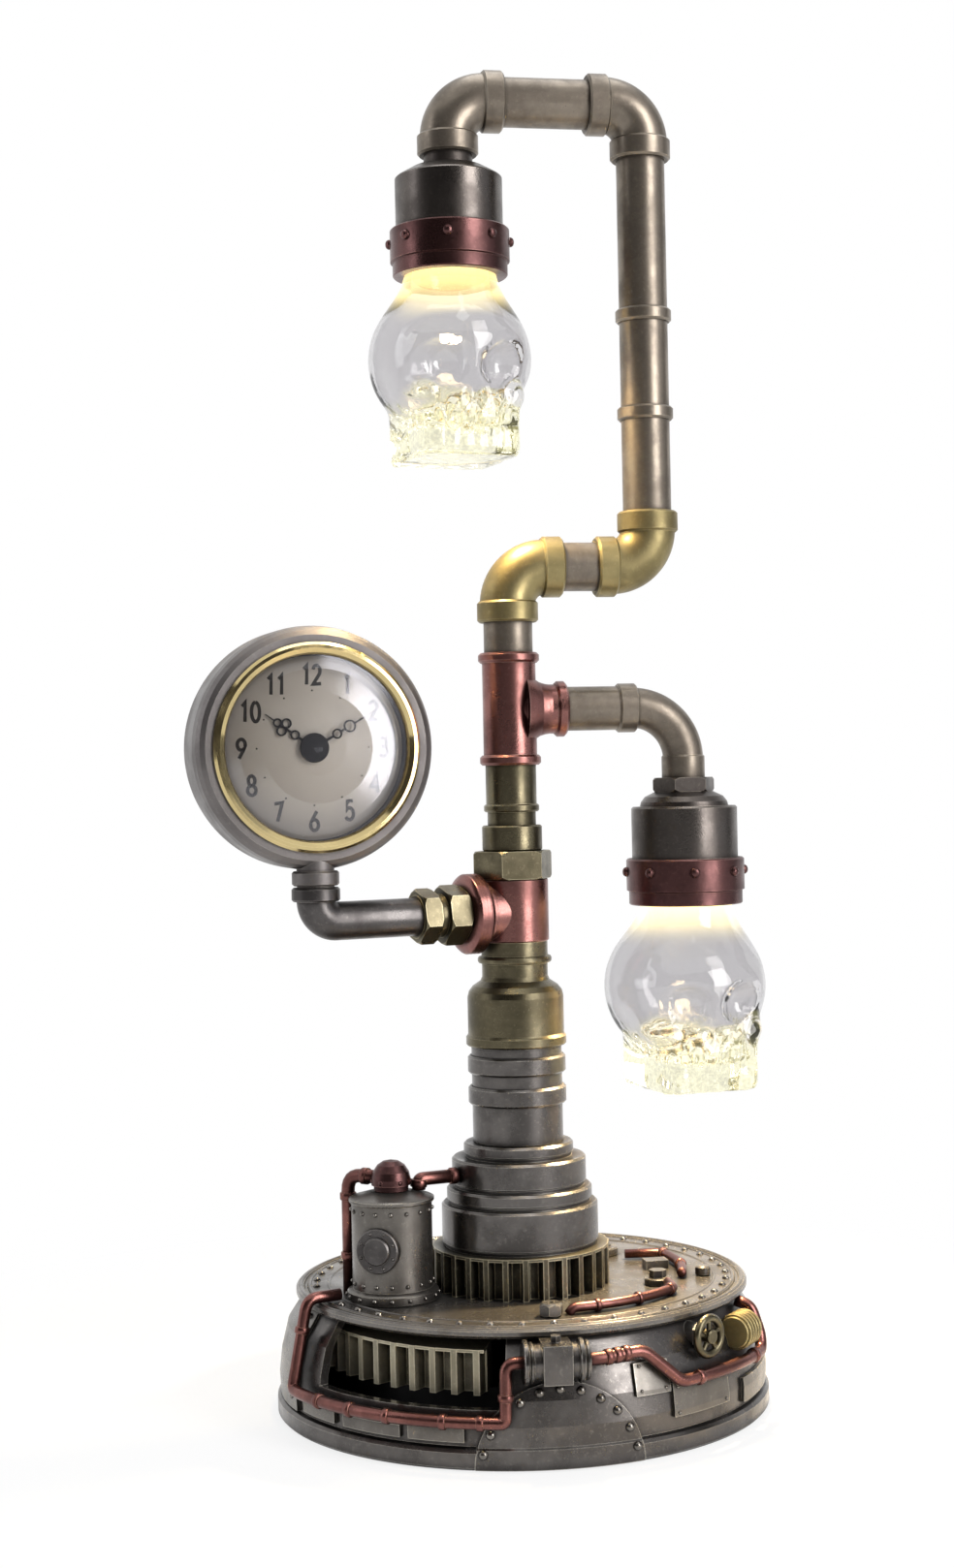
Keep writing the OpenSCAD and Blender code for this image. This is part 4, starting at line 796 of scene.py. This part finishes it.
@dataclass
class CopperRuns:
    """Bent copper pipes on the base, the deck and the tank."""

    finishes: Finishes
    deck_z: float = 43.0
    r: float = 2.0
    deck_r: float = 1.6
    tank: tuple[float, float] = (-43.0, -29.0)
    tank_r: float = 2.3
    tank_way: float = 148.0
    dome_out: float = 5.5
    fall_out: float = 17.9
    fall_z: float = 83.0
    cross_from: tuple[float, float] = (9.1, 3.1)
    cross_z: tuple[float, float] = (78.5, 82.0)
    column: tuple[float, float] = (0.0, -10.0)
    column_reach: float = 22.0

    @staticmethod
    def _pipe(shape: Shape, points: Sequence[Vector], r: float, bend: float, bands: Sequence[float]) -> None:
        """Adds one bent pipe with thin bands.

        Args:
            shape: Shape that grows.
            points: Corners and ends of the pipe.
            r: Its radius.
            bend: How far from a corner its bend starts.
            bands: Places of the bands, as shares of its length.
        """
        line = rounded(points, bend)
        shape.sweep(line, r)
        steps = np.cumsum([0.0] + [(b - a).length for a, b in zip(line, line[1:])])
        for share in bands:
            goal = share * steps[-1]
            k = int(np.searchsorted(steps, goal, side="right")) - 1
            along = (line[k + 1] - line[k]).normalized()
            spot = line[k] + along * (goal - steps[k])
            h = 0.55 * r
            profile = [
                (r * 0.9, -h), (r + 0.35, -h), (r + 0.55, -h + 0.25),
                (r + 0.55, h - 0.25), (r + 0.35, h), (r * 0.9, h),
            ]
            shape.lathe(profile, facing(tuple(spot), tuple(along)), 16)

    def _stand_in(self, shape: Shape, node: str) -> None:
        """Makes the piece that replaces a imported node."""
        piece = shape.piece(node + "_bent", self.finishes["pipe_copper"])
        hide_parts(node)
        settle(piece, "base")

    @staticmethod
    def _arc(start: float, end: float, r: float, z: float) -> list[Vector]:
        """Points along a stretch round the base's axis."""
        count = max(2, int(abs(end - start) / 3.0))
        return [round_axis(start + (end - start) * i / count, r, z) for i in range(count + 1)]

    def side(self) -> None:
        """Makes the pipe from the valve to the right."""
        shape = Shape()
        points = [round_axis(13.0, 84.6, 34.5), round_axis(17.0, 85.0, 34.6), round_axis(27.0, 83.9, 35.2)]
        points += self._arc(36.0, 68.5, 85.7, 23.6)
        points += [round_axis(70.5, 84.8, 28.0), round_axis(70.5, 81.6, 37.4), round_axis(70.5, 76.4, 39.0)]
        self._pipe(shape, points, self.r, 3.0, (0.075, 0.105, 0.135, 0.43, 0.74))
        self._stand_in(shape, "side_pipe")

    def window(self) -> None:
        """Makes the pipe from the valve round the window to the deck."""
        shape = Shape()
        points = [round_axis(1.2, 84.6, 34.5), round_axis(-3.6, 85.4, 34.5), round_axis(-3.8, 87.1, 16.2)]
        points += self._arc(-6.0, -58.0, 87.0, 16.2)
        rise = -61.4
        points += [round_axis(rise, 86.8, 16.4), round_axis(rise, 80.9, 45.4), round_axis(rise, 69.0, 45.4)]
        self._pipe(shape, points, self.r, 4.0, (0.11, 0.21, 0.29, 0.42, 0.52, 0.62, 0.86))
        self._stand_in(shape, "window_pipe")

    def tank_runs(self) -> None:
        """Makes the two pipes of the tank."""
        shape = Shape()
        turn = math.radians(self.tank_way)
        way = Vector((math.cos(turn), math.sin(turn), 0.0))
        axis = Vector((*self.tank, 0.0))
        column = Vector((*self.column, 0.0))
        up = Vector((0.0, 0.0, 1.0))
        drop = axis + way * self.fall_out
        top = up * self.fall_z
        fall = [axis + way * self.dome_out + top, drop + top, drop + up * self.deck_z]
        self._pipe(shape, fall, self.tank_r, 5.5, (0.1, 0.35, 0.75))
        foot = axis + Vector((*self.cross_from, 0.0))
        low, high = self.cross_z
        into = column + up * high - (column - foot).normalized() * self.column_reach
        self._pipe(shape, [foot + up * low, foot + up * high, into], self.tank_r, 4.5, (0.12, 0.85))
        self._stand_in(shape, "tank_pipes")

    def deck_runs(self) -> None:
        """Makes the pipes that lie on the deck."""
        shape = Shape()
        lie = self.deck_z + 1.3 * self.deck_r
        low = self.deck_z
        front = [round_axis(14.5, 60.0, low), *self._arc(16.0, 58.0, 60.0, lie), round_axis(64.5, 54.8, lie)]
        right = [*self._arc(80.0, 116.0, 56.0, lie), round_axis(122.0, 44.0, lie)]
        back = [round_axis(148.5, 52.0, low), *self._arc(150.0, 204.0, 52.0, lie)]
        back.append(round_axis(205.5, 52.0, low))
        for points, bands in ((front, (0.2, 0.5, 0.8)), (right, (0.3, 0.7)), (back, (0.25, 0.5, 0.75))):
            self._pipe(shape, points, self.deck_r, 2.0, bands)
        self._stand_in(shape, "deck_pipes")

    def build(self) -> None:
        """Makes all the pipes."""
        self.side()
        self.window()
        self.tank_runs()
        self.deck_runs()


@dataclass
class ArmRing:
    """Ribbed copper ring where the clock's arm leaves the column."""

    finishes: Finishes
    root: Point = (0.0, -10.0, 170.5)
    way: Point = (-0.882948, -0.469472, 0.0)
    start: float = 14.0
    end: float = 20.0
    r: float = 13.6
    ribs: int = 4
    pitch: float = 1.3
    bore: float = 9.4
    cover: float = 0.06

    def build(self) -> None:
        """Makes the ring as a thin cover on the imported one."""
        r = self.r + self.cover
        low, high = self.start - self.cover, self.end + self.cover
        profile = [(self.bore, low), (r - 1.6, low)]
        for i in range(self.ribs):
            profile += [(r, self.start + 0.7 + i * self.pitch), (r - 0.5, self.start + 1.3 + i * self.pitch)]
        profile += [(r - 2.4, high), (self.bore, high)]
        shape = Shape()
        shape.lathe(profile, facing(self.root, self.way), 64)
        settle(shape.piece("arm_ring_ribs", self.finishes["rosy_copper"]), "base")


@dataclass
class SkullLight:
    """One glass skull below its cup, with the lamp inside it."""

    name: str
    axis: tuple[float, float]
    cup_top: float
    lamp_watts: float
    look: float = 20.0
    crown: float = -62.5
    foot: float = -34.8
    neck_r: float = 15.6
    neck_in: float = 13.0
    bead_r: float = 16.4
    bead_z: tuple[float, float] = (40.5, 43.0)
    neck_low: float = 26.0
    around: int = 96
    rows: int = 72
    lamp_cone: float = 150.0
    lamp_colour: Colour = (1.0, 0.74, 0.40)

    @staticmethod
    def _ball(p: np.ndarray, at: Point, size: Point) -> np.ndarray:
        """Rough distance to an ellipsoid."""
        q = p - np.array(at)
        s = np.array(size)
        k0 = np.linalg.norm(q / s, axis=1)
        k1 = np.linalg.norm(q / s**2, axis=1) + 1e-9
        return k0 * (k0 - 1.0) / k1

    @staticmethod
    def _block(p: np.ndarray, at: Point, half: Point, round_r: float) -> np.ndarray:
        """Distance to a rounded block."""
        q = np.abs(p - np.array(at)) - np.array(half) + round_r
        return np.linalg.norm(np.maximum(q, 0.0), axis=1) + np.minimum(q.max(axis=1), 0.0) - round_r

    @staticmethod
    def _join(a: np.ndarray, b: np.ndarray, soft: float) -> np.ndarray:
        """Soft union of two distances."""
        h = np.clip(0.5 + 0.5 * (b - a) / soft, 0.0, 1.0)
        return b * (1 - h) + a * h - soft * h * (1 - h)

    def _cut(self, a: np.ndarray, b: np.ndarray, soft: float) -> np.ndarray:
        """Soft cut of the second distance from the first."""
        return -self._join(-a, b, soft)

    def outside(self, p: np.ndarray) -> np.ndarray:
        """Signed distance to the skull's outside, about the crown's centre, looking along X."""
        d = self._ball(p, (-2.5, 0, 0), (29, 27.9, 26.5))
        d = self._join(d, self._ball(p, (17, 0, 2.5), (9.5, 18.5, 7)), 5.0)
        for side in (-1, 1):
            d = self._join(d, self._ball(p, (13.5, 16.2 * side, -14.5), (8, 3.8, 3.8)), 5.0)
        d = self._join(d, self._block(p, (0.5, 0, -25.0), (21.0, 18.0, 12.0), 5.5), 3.0)
        d = self._join(d, self._block(p, (12, 0, -20), (11.5, 10.5, 7.5), 5.0), 3.0)
        neck = np.hypot(p[:, 0], p[:, 1]) - self.neck_r
        d = self._join(d, np.maximum(neck, -p[:, 2]), 9.0)
        for side in (-1, 1):
            d = self._cut(d, self._ball(p, (25.5, 10.8 * side, -5.0), (8.5, 7.4, 7.2)), 2.0)
            d = self._cut(d, self._ball(p, (2, 29 * side, -16), (10, 6, 9)), 5.0)
        d = self._cut(d, self._ball(p, (27.5, 0, -14.5), (6, 3.2, 5.0)), 1.5)
        front = np.clip((p[:, 0] - 8.0) / 8.0, 0.0, 1.0)
        band = np.exp(-(((p[:, 2] + 25.0) / 4.5) ** 2))
        teeth = 0.55 * np.cos(p[:, 1] * 2 * math.pi / 4.6) * front * band
        gap = 0.9 * np.exp(-(((p[:, 2] + 25.0) / 0.9) ** 2)) * front
        return np.maximum(d + teeth + gap, self.foot - p[:, 2])

    def inside(self, p: np.ndarray) -> np.ndarray:
        """Signed distance to the hollow inside the glass."""
        hollow = self._ball(p, (-2.5, 0, 0.3), (27.4, 26.3, 24.9))
        neck = np.hypot(p[:, 0], p[:, 1]) - self.neck_in
        d = self._join(hollow, np.maximum(neck, -p[:, 2]), 8.0)
        lumpy = 0.55 * np.sin(p[:, 0] * 0.85 + 1.3) * np.sin(p[:, 1] * 0.95 + 0.4)
        low = np.clip((-8.0 - p[:, 2]) / 10.0, 0.0, 1.0)
        d = d + lumpy * low * (1.6 + np.sin(p[:, 0] * 2.1 + p[:, 1] * 1.7))
        return np.maximum(d, self.outside(p) + 1.4)

    def _rings(self, distance: Callable[[np.ndarray], np.ndarray], wide: float) -> list[list[Point]]:
        """Rows of points where rays from the centre leave a form.

        Args:
            distance: Signed distance of the form.
            wide: Radius of its neck, where the rows start.

        Returns:
            Rows of points from the neck to the foot.
        """
        start = math.atan2(wide, self.neck_low)
        out = []
        turn = np.linspace(0.0, 2 * math.pi, self.around, endpoint=False)
        reach = np.arange(2.0, 60.0, 0.2)
        for i in range(self.rows):
            tilt = start + (math.pi - 0.012 - start) * i / (self.rows - 1)
            level = np.sin(tilt)
            ways = np.stack(
                [level * np.cos(turn), level * np.sin(turn), np.full_like(turn, math.cos(tilt))], axis=1
            )
            spots = ways[:, None, :] * reach[None, :, None]
            values = distance(spots.reshape(-1, 3)).reshape(len(turn), len(reach))
            first = np.argmax(values > 0.0, axis=1)
            high = reach[first]
            low = high - 0.2
            for _ in range(12):
                mid = (low + high) / 2
                beyond = distance(ways * mid[:, None]) > 0.0
                high = np.where(beyond, mid, high)
                low = np.where(beyond, low, mid)
            out.append([tuple(p) for p in ways * high[:, None]])
        return out

    def _ring(self, r: float, z: float) -> list[Point]:
        """One round row of points."""
        turn = np.linspace(0.0, 2 * math.pi, self.around, endpoint=False)
        return [(r * math.cos(t), r * math.sin(t), z) for t in turn]

    def build(self, material: bpy.types.Material) -> bpy.types.Object:
        """Makes the glass and its lamp.

        Args:
            material: Finish of the glass.

        Returns:
            The glass.
        """
        low, high = self.bead_z
        outer = self._rings(self.outside, self.neck_r)
        inner = self._rings(self.inside, self.neck_in)
        start = self.neck_low + 3.0
        outline = (
            (self.neck_r, start), (self.neck_r, low), (self.bead_r, low), (self.bead_r, high - 0.4),
            (self.bead_r - 0.4, high), (self.neck_in, high), (self.neck_in, start),
        )
        rows = list(reversed(outer)) + [self._ring(r, z) for r, z in outline] + inner
        turn = math.radians(self.look - 90.0)
        c, s = math.cos(turn), math.sin(turn)
        shift = (self.axis[0], self.axis[1], self.cup_top + self.crown)
        x0, y0, z0 = shift
        placed = [[(x * c - y * s + x0, x * s + y * c + y0, z + z0) for x, y, z in row] for row in rows]
        shape = Shape()
        shape.grid(placed)
        last = (len(placed) - 1) * self.around
        shape.faces.append(tuple(reversed(range(self.around))))
        shape.faces.append(tuple(last + j for j in range(self.around)))
        piece = shape.piece(self.name, material)
        piece.visible_shadow = False
        self._lamp(shift)
        return piece

    def glass(self) -> LitGlass:
        """The skull's glass, with its foot and its neck at their heights."""
        middle = self.cup_top + self.crown
        return LitGlass(self.name + "_glass", middle + self.foot, middle + self.neck_low)

    def _lamp(self, shift: Point) -> None:
        """Puts a warm lamp that shines down in the upper part of the hollow."""
        lamp = bpy.data.lights.new(self.name + "_lamp", "SPOT")
        lamp.energy = self.lamp_watts
        lamp.color = self.lamp_colour
        lamp.spot_size = math.radians(self.lamp_cone)
        lamp.spot_blend = 1.0
        lamp.shadow_soft_size = 0.006
        spot = bpy.data.objects.new(self.name + "_lamp", lamp)
        spot.location = Vector((shift[0], shift[1], shift[2] + 14.0)) * MM
        bpy.context.scene.collection.objects.link(spot)


class Digits:
    """Strokes of the numbers on the dial, in a box 0.6 wide and 1 high."""

    @staticmethod
    def arc(
        cx: float, cy: float, rx: float, ry: float, start: float, end: float, n: int = 14
    ) -> list[tuple[float, float]]:
        """Points along a part of an ellipse, in degrees."""
        turns = [math.radians(start + (end - start) * i / n) for i in range(n + 1)]
        return [(cx + rx * math.cos(t), cy + ry * math.sin(t)) for t in turns]

    @classmethod
    def strokes(cls, digit: str) -> list[list[tuple[float, float]]]:
        """The strokes of one digit.

        Args:
            digit: A character from 0 to 9.

        Returns:
            Lists of points.
        """
        arc = cls.arc
        table = {
            "0": [arc(0.3, 0.5, 0.27, 0.5, 90, 450, 28)],
            "1": [[(0.12, 0.80), (0.34, 1.0), (0.30, 0.0)]],
            "2": [arc(0.28, 0.72, 0.24, 0.28, 165, -38) + [(0.04, 0.02), (0.58, 0.04)]],
            "3": [arc(0.26, 0.76, 0.24, 0.24, 150, -90) + arc(0.26, 0.27, 0.29, 0.27, 90, -150)],
            "4": [[(0.44, 0.0), (0.44, 1.0), (0.02, 0.32), (0.62, 0.32)]],
            "5": [[(0.52, 1.0), (0.14, 0.98), (0.10, 0.55)] + arc(0.26, 0.31, 0.29, 0.31, 118, -150)],
            "6": [[(0.46, 1.0), (0.14, 0.55)] + arc(0.29, 0.28, 0.27, 0.28, 160, -200, 24)],
            "7": [[(0.02, 0.92), (0.56, 0.98), (0.22, 0.0)]],
            "8": [arc(0.3, 0.75, 0.22, 0.25, -90, 270, 24), arc(0.3, 0.25, 0.28, 0.25, 90, 450, 24)],
            "9": [[(0.14, 0.0), (0.46, 0.45)] + arc(0.31, 0.72, 0.27, 0.28, 340, -20, 24)],
        }
        return table[digit]


@dataclass
class ClockDress:
    """Dial card and its printing."""

    finishes: Finishes
    centre: Point = (-66.8005, -38.8162, 227.8)
    normal: Point = (0.317305, -0.948324, 0.0)
    dial_at: float = 6.25
    dial_r: float = 30.3
    number_r: float = 24.0
    number_h: float = 6.3
    narrow: float = 0.78
    digit_w: float = 0.6
    digit_gap: float = 0.12
    stroke: float = 0.58
    dot_at: float = 18.9
    dot_r: float = 0.32

    def frame(self, out: float) -> Matrix:
        """The dial's frame: X to three, Y to twelve, Z out of the face."""
        place = facing((0.0, 0.0, 0.0), self.normal)
        place.translation = Vector(self.centre) + Vector(self.normal) * out
        return place

    def _ribbon(self, shape: Shape, line: Sequence[tuple[float, float]], frame: Matrix) -> None:
        """Adds a flat stroke along a line.

        Args:
            shape: Shape that grows.
            line: Points in the dial's plane, in millimetres.
            frame: The dial's frame.
        """
        spots = [Vector((x, y, 0.0)) for x, y in line]
        rows = []
        for i, p in enumerate(spots):
            before, after = spots[max(i - 1, 0)], spots[min(i + 1, len(spots) - 1)]
            along = ((after - p).normalized() + (p - before).normalized()).normalized()
            step = (p - before) if i else (after - p)
            lean = max(0.4, along.dot(step.normalized()))
            across = Vector((-along.y, along.x, 0.0)) * (self.stroke / lean)
            rows.append([tuple(frame @ (p + across)), tuple(frame @ (p - across))])
        shape.grid(rows, closed=False)

    def build(self) -> None:
        """Makes the dial's card and its numbers and dots."""
        card = Shape()
        card.lathe([(0.0, 0.06), (self.dial_r, 0.06), (self.dial_r, -0.02)], self.frame(self.dial_at), 72)
        settle(card.piece("dial_face", self.finishes["dial_card"]), "clock_head")
        print_frame = self.frame(self.dial_at + 0.1)
        print_shape = Shape()
        wide = self.number_h * self.narrow
        for hour in range(1, 13):
            a = math.radians(30 * hour)
            text = str(hour)
            width = (self.digit_w * len(text) + self.digit_gap * (len(text) - 1)) * wide
            x0 = self.number_r * math.sin(a) - width / 2
            y0 = self.number_r * math.cos(a) - self.number_h / 2
            for k, digit in enumerate(text):
                left = x0 + k * (self.digit_w + self.digit_gap) * wide
                for line in Digits.strokes(digit):
                    scaled = [(left + x * wide, y0 + y * self.number_h) for x, y in line]
                    self._ribbon(print_shape, scaled, print_frame)
            dot = Matrix.Translation((self.dot_at * math.sin(a), self.dot_at * math.cos(a), 0.0))
            print_shape.lathe([(0.0, 0.02), (self.dot_r, 0.0)], print_frame @ dot, 10)
        settle(print_shape.piece("dial_numbers", self.finishes["ink"]), "clock_head")


@dataclass
class Studio:
    """Floor, light and camera."""

    camera_place: Point = (0.0, -0.800, 0.218)
    focal_px: float = 2370.0
    frame_px: tuple[float, float] = (984.0, 1618.0)
    axis_px: tuple[float, float] = (526.9, 798.3)
    roll: float = 1.18
    sensor: float = 36.0
    backdrop: float = 1.0
    sky: float = 0.45
    sky_colour: Colour = (0.95, 0.97, 1.0)
    floor_half: float = 6000.0
    floor_colour: Colour = (0.93, 0.93, 0.93)
    floor_white: float = 0.82
    shadow_reach: float = 320.0
    curtain_r: float = 2400.0
    curtain_low: float = 1.0
    curtain_high: float = 2600.0
    curtain_dark: Colour = (0.065, 0.062, 0.061)
    curtain_pale: Colour = (0.60, 0.62, 0.66)

    def camera(self) -> None:
        """Makes the camera from the photo's view."""
        data = bpy.data.cameras.new("photo_camera")
        width, height = self.frame_px
        data.sensor_fit = "AUTO"
        data.sensor_width = self.sensor
        data.lens = self.sensor * self.focal_px / height
        data.shift_x = (width / 2 - self.axis_px[0]) / height
        data.shift_y = (self.axis_px[1] - height / 2) / height
        data.clip_start = 0.01
        camera = bpy.data.objects.new("photo_camera", data)
        turn = Matrix.Rotation(math.radians(90.0), 4, "X") @ Matrix.Rotation(math.radians(-self.roll), 4, "Z")
        camera.matrix_world = Matrix.Translation(self.camera_place) @ turn
        bpy.context.scene.collection.objects.link(camera)
        bpy.context.scene.camera = camera

    @staticmethod
    def seen_white(board: Board) -> Wire:
        """1 for rays that show the surroundings, straight, mirrored or through glass."""
        ray = "ShaderNodeLightPath"
        seen = board.node(ray, None, None, "Is Camera Ray")
        seen = seen.at_least(board.node(ray, None, None, "Is Glossy Ray"))
        return seen.at_least(board.node(ray, None, None, "Is Transmission Ray"))

    def world(self) -> None:
        """Makes the white surroundings."""
        world = bpy.data.worlds.new("studio")
        bpy.context.scene.world = world
        world.use_nodes = True
        board = Board(world.node_tree)
        seen = self.seen_white(board)
        white = board.node("ShaderNodeBackground", None, {"Color": WHITE, "Strength": self.backdrop})
        soft = board.node("ShaderNodeBackground", None, {"Color": self.sky_colour, "Strength": self.sky})
        both = board.node("ShaderNodeMixShader", None, {0: seen, 1: soft, 2: white})
        board.finish(both, "ShaderNodeOutputWorld")

    def floor(self) -> None:
        """Makes the pale floor."""
        material, board = new_board("studio_floor")
        seen = self.seen_white(board)
        away = board.node("ShaderNodeVectorMath", {"operation": "LENGTH"}, {0: board.place()}, "Value")
        fade = away.step(self.shadow_reach * 0.5, self.shadow_reach)
        share = self.floor_white + fade * (1.0 - self.floor_white)
        dull = board.surface({"Base Color": self.floor_colour, "Roughness": 0.9})
        white = board.node("ShaderNodeEmission", None, {"Color": WHITE, "Strength": 1.0})
        board.finish(board.node("ShaderNodeMixShader", None, {0: seen * share, 1: dull, 2: white}))
        half = self.floor_half
        corners = [(-half, -half, 0.0), (half, -half, 0.0), (half, half, 0.0), (-half, half, 0.0)]
        mesh_piece("studio_floor", corners, [(0, 1, 2, 3)], material, False)

    def curtain(self, name: str, start: float, end: float, shade: Colour) -> None:
        """Hangs a curtain that only reflections show, round the object's axis.

        Args:
            name: Name of the curtain.
            start: Where it starts, in degrees to the right of the front.
            end: Where it ends.
            shade: Its colour.
        """
        material, board = new_board(name)
        board.finish(board.node("ShaderNodeEmission", None, {"Color": shade, "Strength": 1.0}))
        turns = np.radians(np.linspace(start, end, 24))
        r, heights = self.curtain_r, (self.curtain_low, self.curtain_high)
        rows = [[(r * math.sin(t), -r * math.cos(t), z) for t in turns] for z in heights]
        shape = Shape()
        shape.grid(rows, closed=False)
        piece = shape.piece(name, material)
        piece.visible_camera = False
        piece.visible_diffuse = False
        piece.visible_shadow = False
        piece.visible_transmission = False

    def softbox(
        self, name: str, place: Point, size: tuple[float, float], watts: float, colour: Colour
    ) -> None:
        """Makes an area light aimed at the middle of the lamp.

        Args:
            name: Name of the light.
            place: Its place in metres.
            size: Width and height in metres.
            watts: Power.
            colour: Colour.
        """
        data = bpy.data.lights.new(name, "AREA")
        data.shape = "RECTANGLE"
        data.size, data.size_y = size
        data.energy = watts
        data.color = colour
        light = bpy.data.objects.new(name, data)
        light.location = place
        aim = Vector((0.0, 0.0, 0.22)) - Vector(place)
        light.rotation_euler = aim.to_track_quat("-Z", "Y").to_euler()
        bpy.context.scene.collection.objects.link(light)

    def build(self) -> None:
        """Makes the whole studio."""
        bpy.context.scene.view_settings.view_transform = "Standard"
        self.camera()
        self.world()
        self.floor()
        self.curtain("dark_front", -84.0, 60.0, self.curtain_dark)
        self.curtain("pale_side", 60.0, 98.0, self.curtain_pale)
        self.curtain("dark_side", 98.0, 118.0, self.curtain_dark)
        self.softbox("key_right", (1.12, -0.98, 0.55), (0.62, 1.7), 30.0, (1.0, 0.98, 0.97))
        self.softbox("fill_left", (-1.5, -0.35, 0.7), (0.4, 1.3), 4.0, (0.97, 0.97, 1.0))
        self.softbox("top_soft", (0.1, 0.2, 1.7), (1.0, 1.0), 8.0, WHITE)


class NodeFinish:
    """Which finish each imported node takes."""

    BY_FINISH: dict[str, str] = {
        "pewter": "base_shell arch_plate valve_body column_base column_tube column_bands",
        "deck_pewter": "deck_plate deck_fittings",
        "plate_grey": "wall_plates tank_body tank_lid",
        "gunmetal": "clock_arm tank_port",
        "pipe_bronze": "riser_pipe riser_rings top_elbow_right top_pipe top_elbow_left "
        "branch_pipe branch_elbow offset_nipple tee_nipple",
        # The hose stub takes the gold finish partly for its own colour and partly as painted light, for the
        # lamp's warm light on it.
        "antique_gold": "offset_elbow_low offset_elbow_high hose_stub",
        "olive_bronze": "reducer union_nut union_tail clock_fittings handwheel lower_nipple",
        "rosy_copper": "light_tee clock_tee",
        "pipe_copper": "window_pipe side_pipe tank_pipes deck_pipes",
        "red_copper": "shade_rings shade_screws tank_dome",
        "gear_bronze": "deck_gear",
        "shade_lifted_bronze": "ring_gear",
        "case_taupe": "clock_case",
        "cup_brown": "lamp_cups",
        "polished_gold": "clock_bezel",
        "zinc": "floor_screws tie_tube tie_nut switch_unit",
        "felt": "felt_pad",
        "black_steel": "base_floor gear_stand cord_gland clock_insert",
        "black_lacquer": "minute_work hour_hand",
        "light_board": "led_modules",
        "lens_glass": "clock_lens",
    }

    @classmethod
    def dress(cls, nodes: dict[str, bpy.types.Object], finishes: Finishes) -> None:
        """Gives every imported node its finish.

        Args:
            nodes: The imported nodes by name.
            finishes: The finishes.
        """
        for finish, names in cls.BY_FINISH.items():
            for name in names.split():
                slots = nodes[name].data.materials
                slots.clear()
                slots.append(finishes[finish])
                LOG.info("node %s takes %s", name, finish)


def main() -> None:
    """Builds the dressed lamp in its studio."""
    logging.basicConfig(level=logging.INFO, format="%(message)s")
    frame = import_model()
    Studio().build()
    finishes = Finishes()
    NodeFinish.dress(frame["nodes"], finishes)
    BaseDress(finishes).build()
    CopperRuns(finishes).build()
    ArmRing(finishes).build()
    lights = (
        SkullLight("upper_skull", (-17.234, -13.039), 422.5, 1.7),
        SkullLight("lower_skull", (60.073, 0.593), 205.4, 4.0),
    )
    skulls = [light.build(finishes.add(light.glass())) for light in lights]
    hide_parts("glass_skulls")
    for skull in skulls:
        settle(skull, "lamp_mast")
    ClockDress(finishes).build()


if __name__ == "__main__":
    main()
